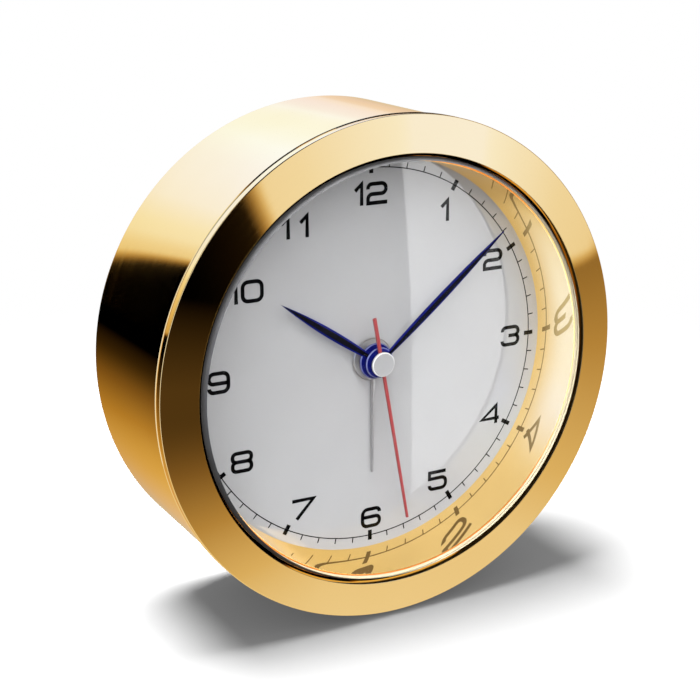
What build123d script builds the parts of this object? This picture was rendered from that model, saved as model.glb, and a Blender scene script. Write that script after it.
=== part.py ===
from build123d import *
from math import cos, radians, sin
import os

# Drum-cased table alarm clock with a quartz movement.
# Millimetres. +X right, +Y back, +Z up; the dial faces -Y.
# The origin is the middle of the foot's underside.
# A depth is measured back from the bezel's outer front edge.
# A place in the dial plane is (x, z) from the hands' axis, seen from the front.

# Case
DRUM_RADIUS = 42.1
DRUM_WALL = 1.2
DRUM_EDGE_ROUND = 0.5
FIT_CLEARANCE = 0.05

# Bezel
BEZEL_OVERHANG = 0.4
BEZEL_FACE_WIDTH = 6.1
BEZEL_RIM = 2.0
BEZEL_EDGE_ROUND = 0.15
BEZEL_RISE = 0.9
BEZEL_FLOOR = 1.6
LIP_CHAMFER = 0.45
SPIGOT_WALL = 2.65
SEAM_CHAMFER = 0.15

# Crystal and its gasket
CRYSTAL_EDGE_DEPTH = -1.2
CRYSTAL_EDGE_THICKNESS = 2.4
CRYSTAL_DOME = 0.5
CRYSTAL_BEVEL_WIDTH = 0.58
CRYSTAL_BEVEL_HEIGHT = 1.05
CRYSTAL_CLEARANCE = 0.1
GASKET_WIDTH = 0.5
GASKET_THICKNESS = 0.5

# Reflector ring and dial
DIAL_DEPTH = 11.3
DIAL_THICKNESS = 0.5
DIAL_EDGE_INSET = 0.25
REFLECTOR_CLEARANCE = 0.15
REFLECTOR_WALL = 0.9
REFLECTOR_FLARE = 0.6
REFLECTOR_FLANGE = 0.8

# Foot
FOOT_STANDOFF = 0.9
FOOT_WIDTH = 18.0
FOOT_LENGTH = 22.0
FOOT_FRONT_DEPTH = 5.0
FOOT_CORNER = 4.0
GLUE_FILM = 0.05

# Rear cover, its screws and the holder ring that they go into
COVER_THICKNESS = 1.8
COVER_RECESS = 0.5
COVER_CLEARANCE = 0.2
COVER_SCREWS = 4
COVER_SCREW_INSET = 2.6
SCREW_HEAD_RADIUS = 1.9
SCREW_HEAD_HEIGHT = 0.9
SCREW_SHANK_RADIUS = 0.8
SCREW_SHANK_LENGTH = 7.0
SCREW_CLEARANCE = 0.1
HOLDER_RING_WIDTH = 0.7
HOLDER_RING_DEPTH = 3.0
HOLDER_BOSS_RADIUS = 2.2

# Movement housing and plates
HOUSING_END_WALL = 1.5
HOUSING_FOOT_WALL = 0.9
HOUSING_TOP = 24.0
HOUSING_CORNER = 5.0
HOUSING_WALL = 1.2
HOUSING_TO_COVER = 0.2
PARTITION_GAP = 0.3
PARTITION_WALL = 1.1
PLATE_THICKNESS = 1.2
PLATE_CLEARANCE = 0.2
BRIDGE_GAP = 1.5
BRIDGE_THICKNESS = 1.0
POST_RADIUS = 1.6
POST_MARGIN = 1.0
LEFT_POST_PLACE = (-16.5, -3.5)
TOP_POST_PLACE = (-3.0, 15.5)
STATOR_POST_GAP = 3.3
STATOR_POST_Z = 13.0
BOARD_POST_GAP = 2.3
BOARD_POST_Z = -4.5
BRIDGE_SCREW_HEAD_RADIUS = 1.5
BRIDGE_SCREW_HEAD_HEIGHT = 0.8
BRIDGE_SCREW_SHANK_RADIUS = 0.7
BRIDGE_SCREW_SHANK_LENGTH = 4.8

# Battery cell and its contacts
CELL_RADIUS = 7.25
CELL_LENGTH = 50.5
CELL_BUTTON_RADIUS = 2.75
CELL_BUTTON_LENGTH = 1.0
CELL_END_ROOM = 3.7
CELL_REAR_ROOM = 0.15
BAY_FLOOR = 0.5
CELL_TO_FLOOR = 0.05
BAY_SIDE_GAP = 0.25
CONTACT_THICKNESS = 0.4
CONTACT_WIDTH = 9.0
DOOR_CLEARANCE = 0.25
DOOR_GRIP_RADIUS = 6.0
DOOR_GRIP_DEPTH = 0.7

# Gears: tooth sizes are shares of the module, as in any gear
TRAIN_DISTANCE = 7.4
TRAIN_DIRECTION = 130.0
STEP_DISTANCE = 8.0
STEP_DIRECTION = 50.0
ROTOR_DISTANCE = 6.6
ROTOR_DIRECTION = 60.0
MOTION_DISTANCE = 6.8
MOTION_DIRECTION = -8.0
TIME_SET_DIRECTION = 20.0
ALARM_SET_DISTANCE = 8.4
ALARM_SET_DIRECTION = 193.0
ROTOR_LEAVES, STEP_TEETH = 6, 48
STEP_LEAVES, SECONDS_TEETH = 8, 30
SECONDS_LEAVES, THIRD_TEETH = 6, 45
THIRD_LEAVES, MINUTE_TEETH = 6, 48
CANNON_LEAVES, MOTION_TEETH = 10, 30
MOTION_LEAVES, HOUR_TEETH = 8, 32
TIME_SET_LEAVES = 10
ALARM_TEETH = 24
WHEEL_TOOTH = {"addendum": 0.85, "dedendum": 1.05, "tip": 0.6, "root": 1.75}
LEAF_TOOTH = {"addendum": 0.7, "dedendum": 1.1, "tip": 0.7, "root": 1.1}

# Depths of the wheels, counted back from the front plate's rear face
WHEEL_THICKNESS = 0.7
LEVEL_GAP = 0.2

# Arbors and tubes that carry the hands
SECONDS_ARBOR_RADIUS = 0.5
TUBE_CLEARANCE = 0.06
MINUTE_TUBE_WALL = 0.44
HOUR_TUBE_WALL = 0.54
ALARM_TUBE_WALL = 0.64
PIVOT_RADIUS = 0.45
PIVOT_SINK = 0.8
SET_ARBOR_RADIUS = 1.0
SET_PIVOT_RADIUS = 0.6
SET_ARBOR_CLEARANCE = 0.2
KNOB_RADIUS = 4.5
KNOB_HEIGHT = 3.5
KNOB_FLUTES = 20
KNOB_FLUTE_DEPTH = 0.35
KNOB_GAP = 0.3
KNOB_DISH_RADIUS = 3.0
KNOB_DISH_DEPTH = 0.4
KNOB_WEB = 1.2

# Stepping motor
ROTOR_MAGNET_RADIUS = 2.5
ROTOR_AIR_GAP = 0.4
STATOR_THICKNESS = 1.6
STATOR_HALF_LENGTH = 8.75
STATOR_HALF_HEIGHT = 3.75
STATOR_EAR_WIDTH = 3.0
COIL_ROOM = 0.5
CORE_HEIGHT = 3.0
CORE_THICKNESS = 1.2
BOBBIN_FLANGE = 0.6
BOBBIN_TUBE_RADIUS = 1.9
WINDING_RADIUS = 2.9
COIL_SIDE_GAP = 0.2

# Circuit board, quartz can and buzzer
BOARD_WIDTH = 8.0
BOARD_SIDE_GAP = 1.0
BOARD_MIDDLE = 1.4
BOARD_HALF_HEIGHT = 7.5
BOARD_THICKNESS = 1.0
BOARD_PEG_LENGTH = 3.0
BOARD_PEG_RADIUS = 1.0
BOARD_PEG_INSET = 1.8
CHIP_RADIUS = 2.2
CHIP_HEIGHT = 0.8
CHIP_Z = -1.6
QUARTZ_RADIUS = 1.0
QUARTZ_LENGTH = 6.0
QUARTZ_OFFSET = -1.8
QUARTZ_Z = 1.9
BUZZER_SIDE_GAP = 0.8
BUZZER_Z = 14.0
BUZZER_RADIUS = 7.5
BUZZER_HEIGHT = 4.0
BUZZER_PORT_RADIUS = 4.0
SOUND_HOLE_RADIUS = 0.8
SOUND_HOLES = 6
SOUND_HOLE_CIRCLE = 3.0

# Alarm switch
SWITCH_PLACE = (0.0, 19.6)
SWITCH_TRAVEL = 4.0
SWITCH_STEM = (3.0, 2.0)
SWITCH_FLANGE = (8.0, 5.0)
SWITCH_FLANGE_THICKNESS = 1.0
SWITCH_TAB = (5.0, 4.0)
SWITCH_TAB_HEIGHT = 1.4
SWITCH_CLEARANCE = 0.2
SWITCH_TAB_CHAMFER = 0.3

# Hands: reach from the axis and angles clockwise from twelve, at 10:08:28 with the alarm at six
HAND_GAP = 0.1
HAND_BORE_CLEARANCE = 0.01
SECOND_ANGLE = 169.5
MINUTE_ANGLE = 50.8
HOUR_ANGLE = 304.24
ALARM_ANGLE = 180.0
SECOND_HAND_RISE = 0.7
SECOND_HAND_THICKNESS = 0.18
SECOND_HAND_REACH = 29.2
SECOND_HAND_TAIL = 8.2
SECOND_HAND_WIDTH = 0.62
SECOND_HAND_TIP_WIDTH = 0.42
SECOND_COLLET_RADIUS = 0.95
SECOND_COLLET_LENGTH = 0.4
CAP_RADIUS = 2.1
CAP_HEIGHT = 0.45
CAP_EDGE_ROUND = 0.12
MINUTE_HAND_RISE = 1.2
MINUTE_HAND_REACH = 31.4
MINUTE_HAND_WIDTH = 1.15
MINUTE_HAND_ROOT = 0.45
MINUTE_HAND_WIDEST = 17.5
MINUTE_HUB_RADIUS = 2.65
HOUR_HAND_RISE = 1.2
HOUR_HAND_REACH = 21.3
HOUR_HAND_WIDTH = 1.55
HOUR_HAND_ROOT = 0.55
HOUR_HAND_WIDEST = 11.5
HOUR_HUB_RADIUS = 3.1
LEAF_HAND_THICKNESS = 0.35
LEAF_HAND_RIDGE = 0.4
ALARM_HAND_RISE = 0.8
ALARM_HAND_REACH = 20.3
ALARM_HAND_WIDTH = 0.75
ALARM_HAND_TIP_WIDTH = 0.35
ALARM_HAND_THICKNESS = 0.35
ALARM_HUB_RADIUS = 3.68

# Radii and depths worked out from the sizes above
AXIS_HEIGHT = FOOT_STANDOFF + DRUM_RADIUS
FRONT_TO_ORIGIN = FOOT_FRONT_DEPTH + FOOT_LENGTH / 2
HANDS_AXIS = Axis((0, 0, AXIS_HEIGHT), (0, 1, 0))
DRUM_BORE = DRUM_RADIUS - DRUM_WALL
COVER_RADIUS = DRUM_BORE - COVER_CLEARANCE
COVER_SCREW_CIRCLE = COVER_RADIUS - COVER_SCREW_INSET
SPIGOT_RADIUS = DRUM_BORE - FIT_CLEARANCE
BEZEL_RADIUS = DRUM_RADIUS + BEZEL_OVERHANG
LIP_RADIUS = BEZEL_RADIUS - BEZEL_FACE_WIDTH
CRYSTAL_BORE = LIP_RADIUS - LIP_CHAMFER
CRYSTAL_RADIUS = CRYSTAL_BORE - CRYSTAL_CLEARANCE
GASKET_BORE = CRYSTAL_RADIUS + CRYSTAL_CLEARANCE - GASKET_WIDTH
REFLECTOR_OUTER = GASKET_BORE - REFLECTOR_CLEARANCE
REFLECTOR_RADIUS = REFLECTOR_OUTER - REFLECTOR_WALL
DIAL_RADIUS = SPIGOT_RADIUS - DIAL_EDGE_INSET
CRYSTAL_REAR = CRYSTAL_EDGE_DEPTH + CRYSTAL_EDGE_THICKNESS
GASKET_REAR = CRYSTAL_REAR + GASKET_THICKNESS
SPIGOT_REAR = DIAL_DEPTH - REFLECTOR_FLANGE
MOVEMENT_FRONT = DIAL_DEPTH + DIAL_THICKNESS
CELL_DEPTH = MOVEMENT_FRONT + BAY_FLOOR + CELL_TO_FLOOR + CELL_RADIUS
HOUSING_REAR = CELL_DEPTH + CELL_RADIUS + CELL_REAR_ROOM
HOUSING_INNER_REAR = HOUSING_REAR - HOUSING_WALL
COVER_FRONT = HOUSING_REAR + HOUSING_TO_COVER
COVER_REAR = COVER_FRONT + COVER_THICKNESS
DRUM_REAR_DEPTH = COVER_REAR + COVER_RECESS
PLATE_REAR = MOVEMENT_FRONT + PLATE_THICKNESS
ALARM_HAND_FRONT = DIAL_DEPTH - ALARM_HAND_RISE
HOUR_HAND_FRONT = ALARM_HAND_FRONT - HOUR_HAND_RISE
MINUTE_HAND_FRONT = HOUR_HAND_FRONT - MINUTE_HAND_RISE
SECOND_HAND_FRONT = MINUTE_HAND_FRONT - SECOND_HAND_RISE
MINUTE_TUBE_BORE = SECONDS_ARBOR_RADIUS + TUBE_CLEARANCE
MINUTE_TUBE_RADIUS = MINUTE_TUBE_BORE + MINUTE_TUBE_WALL
HOUR_TUBE_BORE = MINUTE_TUBE_RADIUS + TUBE_CLEARANCE
HOUR_TUBE_RADIUS = HOUR_TUBE_BORE + HOUR_TUBE_WALL
ALARM_TUBE_BORE = HOUR_TUBE_RADIUS + TUBE_CLEARANCE
ALARM_TUBE_RADIUS = ALARM_TUBE_BORE + ALARM_TUBE_WALL
PLATE_BORE = ALARM_TUBE_RADIUS + TUBE_CLEARANCE
KNOB_FRONT = COVER_REAR + KNOB_GAP
KNOB_REAR = KNOB_FRONT + KNOB_HEIGHT
PIVOT_FRONT = PLATE_REAR - PIVOT_SINK


def level(index):
    """Front depth of a wheel level, the first one just behind the front plate."""
    return PLATE_REAR + LEVEL_GAP + index * (WHEEL_THICKNESS + LEVEL_GAP)


ALARM_LEVEL, HOUR_LEVEL, MOTION_LEVEL, MINUTE_LEVEL, THIRD_LEVEL, SECONDS_LEVEL, STEP_LEVEL = (
    level(index) for index in range(7))
STATOR_FRONT = STEP_LEVEL + WHEEL_THICKNESS + 2 * LEVEL_GAP
STATOR_REAR = STATOR_FRONT + STATOR_THICKNESS
BRIDGE_FRONT_DEPTH = STATOR_REAR + BRIDGE_GAP
BRIDGE_REAR = BRIDGE_FRONT_DEPTH + BRIDGE_THICKNESS
PIVOT_REAR = BRIDGE_FRONT_DEPTH + PIVOT_SINK


def place(distance, direction, start=(0.0, 0.0)):
    """Point at a distance and a direction, anticlockwise from three o'clock, from a start."""
    return (start[0] + distance * cos(radians(direction)), start[1] + distance * sin(radians(direction)))


THIRD_PLACE = place(TRAIN_DISTANCE, TRAIN_DIRECTION)
STEP_PLACE = place(STEP_DISTANCE, STEP_DIRECTION)
ROTOR_PLACE = place(ROTOR_DISTANCE, ROTOR_DIRECTION, STEP_PLACE)
MOTION_PLACE = place(MOTION_DISTANCE, MOTION_DIRECTION)
TIME_SET_PLACE = place(MOTION_DISTANCE, TIME_SET_DIRECTION, MOTION_PLACE)
ALARM_SET_PLACE = place(ALARM_SET_DISTANCE, ALARM_SET_DIRECTION)
STATOR_LEFT = ROTOR_PLACE[0] - STATOR_HALF_LENGTH
STATOR_RIGHT = ROTOR_PLACE[0] + STATOR_HALF_LENGTH
STATOR_BOTTOM = ROTOR_PLACE[1] - STATOR_HALF_HEIGHT
STATOR_TOP = ROTOR_PLACE[1] + STATOR_HALF_HEIGHT
CORE_Z = STATOR_TOP + COIL_ROOM + WINDING_RADIUS
STATOR_EAR_TOP = CORE_Z + CORE_HEIGHT / 2


def front_plane(depth, spot=(0.0, 0.0)):
    """Plane at a depth that faces the front, with its origin at a place in the dial plane."""
    origin = (spot[0], depth - FRONT_TO_ORIGIN, AXIS_HEIGHT + spot[1])
    return Plane(origin=origin, x_dir=(1, 0, 0), z_dir=(0, -1, 0))


def flat(outline, front, rear, spot=(0.0, 0.0)):
    """Flat piece with an outline, between two depths."""
    return extrude(front_plane(rear, spot) * outline, rear - front)


def rod(radius, front, rear, spot=(0.0, 0.0)):
    return flat(Circle(radius), front, rear, spot)


def box(left, right, bottom, top, front, rear):
    """Block between two sides, two heights and two depths."""
    outline = Pos((left + right) / 2, (bottom + top) / 2) * Rectangle(right - left, top - bottom)
    return flat(outline, front, rear)


def turned(corners, rounded=()):
    """Ring turned about the hands' axis from (radius, depth) corners; rounded lists (corner, radius)."""
    profile = Polygon(*corners, align=None)
    for corner, radius in rounded:
        profile = fillet(profile.vertices().sort_by_distance(Vector(*corner))[0], radius)
    plane = Plane(origin=(0, -FRONT_TO_ORIGIN, AXIS_HEIGHT), x_dir=(1, 0, 0), z_dir=(0, 0, 1))
    return revolve(plane * profile, HANDS_AXIS)


def ring(inner, outer, front, rear):
    return turned([(inner, front), (outer, front), (outer, rear), (inner, rear)])


def tip_reach(teeth, module, tooth):
    """Radius of the circle through a gear's tooth tips."""
    return module * (teeth / 2 + tooth["addendum"])


def gear(teeth, module, phase, tooth):
    """Gear outline with flat-sided teeth; one tooth points at the phase, in degrees."""
    tip = tip_reach(teeth, module, tooth)
    root = module * (teeth / 2 - tooth["dedendum"])
    root_half = tooth["root"] * module / 2
    tip_half = tooth["tip"] * module / 2
    flank = [(root, -root_half), (tip, -tip_half), (tip, tip_half), (root, root_half)]
    corners = []
    for index in range(teeth):
        turn = radians(phase + 360.0 * index / teeth)
        for along, across in flank:
            corners.append((along * cos(turn) - across * sin(turn), along * sin(turn) + across * cos(turn)))
    return Polygon(*corners, align=None)


def module_for(distance, teeth, mate_teeth):
    """Module that makes two gears mesh at a distance."""
    return 2 * distance / (teeth + mate_teeth)


def meshed(phase, teeth, mate_teeth, direction):
    """Phase of a mate that lies in a direction from a gear, so that tooth meets gap."""
    share = (direction - phase) * teeth / 360.0
    return direction + 180.0 - (0.5 - share) * 360.0 / mate_teeth


STEP_MODULE = module_for(STEP_DISTANCE, STEP_LEAVES, SECONDS_TEETH)
ROTOR_MODULE = module_for(ROTOR_DISTANCE, ROTOR_LEAVES, STEP_TEETH)
THIRD_MODULE = module_for(TRAIN_DISTANCE, SECONDS_LEAVES, THIRD_TEETH)
MINUTE_MODULE = module_for(TRAIN_DISTANCE, THIRD_LEAVES, MINUTE_TEETH)
MOTION_MODULE = module_for(MOTION_DISTANCE, CANNON_LEAVES, MOTION_TEETH)
HOUR_MODULE = module_for(MOTION_DISTANCE, MOTION_LEAVES, HOUR_TEETH)
ALARM_MODULE = module_for(ALARM_SET_DISTANCE, ALARM_TEETH, ALARM_TEETH)

# The partition clears the lowest wheel, and the battery bay lies under it
TRAIN_BOTTOM = min(
    -tip_reach(MINUTE_TEETH, MINUTE_MODULE, WHEEL_TOOTH),
    -tip_reach(SECONDS_TEETH, STEP_MODULE, WHEEL_TOOTH),
    MOTION_PLACE[1] - tip_reach(MOTION_TEETH, MOTION_MODULE, WHEEL_TOOTH),
    ALARM_SET_PLACE[1] - tip_reach(ALARM_TEETH, ALARM_MODULE, WHEEL_TOOTH))
PARTITION_HEIGHT = TRAIN_BOTTOM - PARTITION_GAP
BAY_TOP = PARTITION_HEIGHT - PARTITION_WALL
BAY_BOTTOM = BAY_TOP - 2 * CELL_RADIUS - 2 * BAY_SIDE_GAP
BAY_HALF_WIDTH = CELL_LENGTH / 2 + CONTACT_THICKNESS + CELL_END_ROOM / 2
CELL_Z = (BAY_TOP + BAY_BOTTOM) / 2
CELL_RIGHT = BAY_HALF_WIDTH - CONTACT_THICKNESS
CELL_LEFT = CELL_RIGHT - CELL_LENGTH
HOUSING_HALF_WIDTH = BAY_HALF_WIDTH + HOUSING_END_WALL
HOUSING_BOTTOM = BAY_BOTTOM - HOUSING_FOOT_WALL

# The board and the buzzer stand against the housing's sides, and two posts beside the stator and the board
BOARD_RIGHT = HOUSING_HALF_WIDTH - HOUSING_WALL - BOARD_SIDE_GAP
BOARD_LEFT = BOARD_RIGHT - BOARD_WIDTH
BOARD_X = (BOARD_LEFT + BOARD_RIGHT) / 2
CHIP_PLACE = (BOARD_X, CHIP_Z)
QUARTZ_PLACE = (BOARD_X + QUARTZ_OFFSET, QUARTZ_Z)
BUZZER_PLACE = (BUZZER_RADIUS + BUZZER_SIDE_GAP + HOUSING_WALL - HOUSING_HALF_WIDTH, BUZZER_Z)
POST_PLACES = [LEFT_POST_PLACE, TOP_POST_PLACE, (STATOR_RIGHT + STATOR_POST_GAP, STATOR_POST_Z),
               (BOARD_LEFT - BOARD_POST_GAP, BOARD_POST_Z)]

# Every gear's phase follows from a tooth at three o'clock on the seconds wheel and on each first pinion
STEP_PINION_PHASE = meshed(0.0, SECONDS_TEETH, STEP_LEAVES, STEP_DIRECTION)
ROTOR_PHASE = meshed(0.0, STEP_TEETH, ROTOR_LEAVES, ROTOR_DIRECTION)
THIRD_PHASE = meshed(0.0, SECONDS_LEAVES, THIRD_TEETH, TRAIN_DIRECTION)
MINUTE_PHASE = meshed(0.0, THIRD_LEAVES, MINUTE_TEETH, TRAIN_DIRECTION + 180.0)
MOTION_PHASE = meshed(0.0, CANNON_LEAVES, MOTION_TEETH, MOTION_DIRECTION)
HOUR_PHASE = meshed(0.0, MOTION_LEAVES, HOUR_TEETH, MOTION_DIRECTION + 180.0)
TIME_SET_PHASE = meshed(MOTION_PHASE, MOTION_TEETH, TIME_SET_LEAVES, TIME_SET_DIRECTION)
ALARM_SET_PHASE = meshed(0.0, ALARM_TEETH, ALARM_TEETH, ALARM_SET_DIRECTION)


def wheel(teeth, module, phase, front, rear, spot=(0.0, 0.0)):
    return flat(gear(teeth, module, phase, WHEEL_TOOTH), front, rear, spot)


def pinion(leaves, module, phase, front, rear, spot=(0.0, 0.0)):
    return flat(gear(leaves, module, phase, LEAF_TOOTH), front, rear, spot)


# Case pieces

def make_case_drum():
    rear_corner = (DRUM_RADIUS, DRUM_REAR_DEPTH)
    corners = [(DRUM_BORE, BEZEL_RIM), (DRUM_RADIUS - SEAM_CHAMFER, BEZEL_RIM),
               (DRUM_RADIUS, BEZEL_RIM + SEAM_CHAMFER), rear_corner, (DRUM_BORE, DRUM_REAR_DEPTH)]
    return turned(corners, [(rear_corner, DRUM_EDGE_ROUND)])


def make_bezel():
    outer_corner = (BEZEL_RADIUS, 0.0)
    floor_rear = GASKET_REAR + BEZEL_FLOOR
    ledge_bore = REFLECTOR_OUTER + CRYSTAL_CLEARANCE
    spigot_bore = SPIGOT_RADIUS - SPIGOT_WALL
    corners = [(CRYSTAL_BORE, LIP_CHAMFER - BEZEL_RISE), (LIP_RADIUS, -BEZEL_RISE), outer_corner,
               (BEZEL_RADIUS, BEZEL_RIM - SEAM_CHAMFER), (BEZEL_RADIUS - SEAM_CHAMFER, BEZEL_RIM),
               (SPIGOT_RADIUS, BEZEL_RIM), (SPIGOT_RADIUS, SPIGOT_REAR), (spigot_bore, SPIGOT_REAR),
               (spigot_bore, floor_rear), (ledge_bore, floor_rear), (ledge_bore, GASKET_REAR),
               (CRYSTAL_BORE, GASKET_REAR)]
    return turned(corners, [(outer_corner, BEZEL_EDGE_ROUND)])


def make_crystal():
    edge_radius = CRYSTAL_RADIUS - CRYSTAL_BEVEL_WIDTH
    dome_top = CRYSTAL_EDGE_DEPTH - CRYSTAL_DOME
    dome = RadiusArc((0, dome_top), (edge_radius, CRYSTAL_EDGE_DEPTH),
                     (edge_radius ** 2 + CRYSTAL_DOME ** 2) / (2 * CRYSTAL_DOME))
    side = Polyline((edge_radius, CRYSTAL_EDGE_DEPTH),
                    (CRYSTAL_RADIUS, CRYSTAL_EDGE_DEPTH + CRYSTAL_BEVEL_HEIGHT),
                    (CRYSTAL_RADIUS, CRYSTAL_REAR), (0, CRYSTAL_REAR), (0, dome_top))
    plane = Plane(origin=(0, -FRONT_TO_ORIGIN, AXIS_HEIGHT), x_dir=(1, 0, 0), z_dir=(0, 0, 1))
    return revolve(plane * make_face([dome, side]), HANDS_AXIS)


def make_crystal_gasket():
    return ring(GASKET_BORE, CRYSTAL_RADIUS, CRYSTAL_REAR, GASKET_REAR)


def make_reflector_ring():
    mouth = REFLECTOR_RADIUS + REFLECTOR_FLARE
    corners = [(mouth, CRYSTAL_REAR), (REFLECTOR_OUTER, CRYSTAL_REAR), (REFLECTOR_OUTER, SPIGOT_REAR),
               (DIAL_RADIUS, SPIGOT_REAR), (DIAL_RADIUS, DIAL_DEPTH), (REFLECTOR_RADIUS, DIAL_DEPTH)]
    return turned(corners)


def make_dial_plate():
    return ring(PLATE_BORE, DIAL_RADIUS, DIAL_DEPTH, MOVEMENT_FRONT)


def make_rubber_foot():
    slab = Box(FOOT_WIDTH, FOOT_LENGTH, AXIS_HEIGHT, align=(Align.CENTER, Align.CENTER, Align.MIN))
    slab = fillet(slab.edges().filter_by(Axis.Z), FOOT_CORNER)
    return slab - rod(DRUM_RADIUS + GLUE_FILM, FOOT_FRONT_DEPTH, FOOT_FRONT_DEPTH + FOOT_LENGTH)


# Rear cover, holder ring and screws

def screw_places():
    return [place(COVER_SCREW_CIRCLE, 360.0 * index / COVER_SCREWS) for index in range(COVER_SCREWS)]


def make_movement_holder():
    holder = ring(COVER_RADIUS - HOLDER_RING_WIDTH, COVER_RADIUS, MOVEMENT_FRONT,
                  MOVEMENT_FRONT + HOLDER_RING_DEPTH)
    for spot in screw_places():
        holder += rod(HOLDER_BOSS_RADIUS, MOVEMENT_FRONT, COVER_FRONT, spot)
    for spot in screw_places():
        holder -= rod(SCREW_SHANK_RADIUS + SCREW_CLEARANCE / 2, COVER_FRONT - SCREW_SHANK_LENGTH, COVER_FRONT, spot)
    return holder


def make_cover_screws():
    head_front = COVER_REAR - SCREW_HEAD_HEIGHT
    screws = []
    for spot in screw_places():
        shank = rod(SCREW_SHANK_RADIUS, COVER_FRONT - SCREW_SHANK_LENGTH + SCREW_CLEARANCE, head_front, spot)
        screws.append(shank + rod(SCREW_HEAD_RADIUS, head_front, COVER_REAR, spot))
    return Compound(children=screws)


def sound_hole_places():
    holes = [place(SOUND_HOLE_CIRCLE, 360.0 * index / SOUND_HOLES, BUZZER_PLACE) for index in range(SOUND_HOLES)]
    return holes + [BUZZER_PLACE]


def switch_slot(front, rear):
    """Slot that the switch's stem slides in."""
    width = SWITCH_STEM[0] + SWITCH_TRAVEL + 2 * SWITCH_CLEARANCE
    return flat(Rectangle(width, SWITCH_STEM[1] + 2 * SWITCH_CLEARANCE), front, rear, SWITCH_PLACE)


def make_rear_cover():
    cover = rod(COVER_RADIUS, COVER_FRONT, COVER_REAR)
    cover -= box(-BAY_HALF_WIDTH, BAY_HALF_WIDTH, BAY_BOTTOM, BAY_TOP, COVER_FRONT, COVER_REAR)
    cover -= switch_slot(COVER_FRONT, COVER_REAR)
    for spot in (TIME_SET_PLACE, ALARM_SET_PLACE):
        cover -= rod(SET_ARBOR_RADIUS + SET_ARBOR_CLEARANCE, COVER_FRONT, COVER_REAR, spot)
    for spot in sound_hole_places():
        cover -= rod(SOUND_HOLE_RADIUS, COVER_FRONT, COVER_REAR, spot)
    for spot in screw_places():
        cover -= rod(SCREW_SHANK_RADIUS + SCREW_CLEARANCE, COVER_FRONT, COVER_REAR, spot)
        cover -= rod(SCREW_HEAD_RADIUS + SCREW_CLEARANCE, COVER_REAR - SCREW_HEAD_HEIGHT, COVER_REAR, spot)
    return cover


def make_battery_door():
    door = box(DOOR_CLEARANCE - BAY_HALF_WIDTH, BAY_HALF_WIDTH - DOOR_CLEARANCE, BAY_BOTTOM + DOOR_CLEARANCE,
               BAY_TOP - DOOR_CLEARANCE, COVER_FRONT, COVER_REAR)
    return door - rod(DOOR_GRIP_RADIUS, COVER_REAR - DOOR_GRIP_DEPTH, COVER_REAR, (0.0, BAY_TOP))


# Movement plates and housing

def make_movement_housing():
    middle = (HOUSING_TOP + HOUSING_BOTTOM) / 2
    outline = RectangleRounded(2 * HOUSING_HALF_WIDTH, HOUSING_TOP - HOUSING_BOTTOM, HOUSING_CORNER)
    housing = flat(Pos(0, middle) * outline, MOVEMENT_FRONT, HOUSING_REAR)
    side = HOUSING_HALF_WIDTH - HOUSING_WALL
    train_height = HOUSING_TOP - HOUSING_WALL - PARTITION_HEIGHT
    train_outline = RectangleRounded(2 * side, train_height, HOUSING_CORNER - HOUSING_WALL)
    train_middle = PARTITION_HEIGHT + train_height / 2
    housing -= flat(Pos(0, train_middle) * train_outline, MOVEMENT_FRONT, HOUSING_INNER_REAR)
    housing -= box(-BAY_HALF_WIDTH, BAY_HALF_WIDTH, BAY_BOTTOM, BAY_TOP, MOVEMENT_FRONT + BAY_FLOOR, HOUSING_REAR)
    housing -= switch_slot(HOUSING_INNER_REAR, HOUSING_REAR)
    housing -= rod(BUZZER_PORT_RADIUS, HOUSING_INNER_REAR, HOUSING_REAR, BUZZER_PLACE)
    for spot in (TIME_SET_PLACE, ALARM_SET_PLACE):
        housing -= rod(SET_ARBOR_RADIUS + TUBE_CLEARANCE, HOUSING_INNER_REAR, HOUSING_REAR, spot)
    return housing


def board_peg_places():
    reach = BOARD_HALF_HEIGHT - BOARD_PEG_INSET
    return [(BOARD_X, BOARD_MIDDLE - reach), (BOARD_X, BOARD_MIDDLE + reach)]


def make_movement_front_plate():
    side = HOUSING_HALF_WIDTH - HOUSING_WALL - PLATE_CLEARANCE
    bottom = PARTITION_HEIGHT + PLATE_CLEARANCE
    top = HOUSING_TOP - HOUSING_WALL - PLATE_CLEARANCE
    outline = RectangleRounded(2 * side, top - bottom, HOUSING_CORNER - HOUSING_WALL - PLATE_CLEARANCE)
    plate = flat(Pos(0, (top + bottom) / 2) * outline, MOVEMENT_FRONT, PLATE_REAR)
    for spot in POST_PLACES:
        plate += rod(POST_RADIUS, PLATE_REAR, BRIDGE_FRONT_DEPTH, spot)
    for spot in board_peg_places():
        plate += rod(BOARD_PEG_RADIUS, PLATE_REAR, PLATE_REAR + BOARD_PEG_LENGTH, spot)
    plate += rod(SET_PIVOT_RADIUS, PLATE_REAR, MINUTE_LEVEL - LEVEL_GAP / 2, MOTION_PLACE)
    plate -= rod(PLATE_BORE, MOVEMENT_FRONT, PLATE_REAR)
    for spot in (THIRD_PLACE, STEP_PLACE, ROTOR_PLACE):
        plate -= rod(PIVOT_RADIUS + TUBE_CLEARANCE, MOVEMENT_FRONT, PLATE_REAR, spot)
    for spot in (TIME_SET_PLACE, ALARM_SET_PLACE):
        plate -= rod(SET_PIVOT_RADIUS + TUBE_CLEARANCE, MOVEMENT_FRONT, PLATE_REAR, spot)
    for spot in POST_PLACES:
        hole_front = BRIDGE_REAR - BRIDGE_SCREW_SHANK_LENGTH - SCREW_CLEARANCE
        plate -= rod(BRIDGE_SCREW_SHANK_RADIUS + TUBE_CLEARANCE, hole_front, BRIDGE_FRONT_DEPTH, spot)
    return plate


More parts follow.
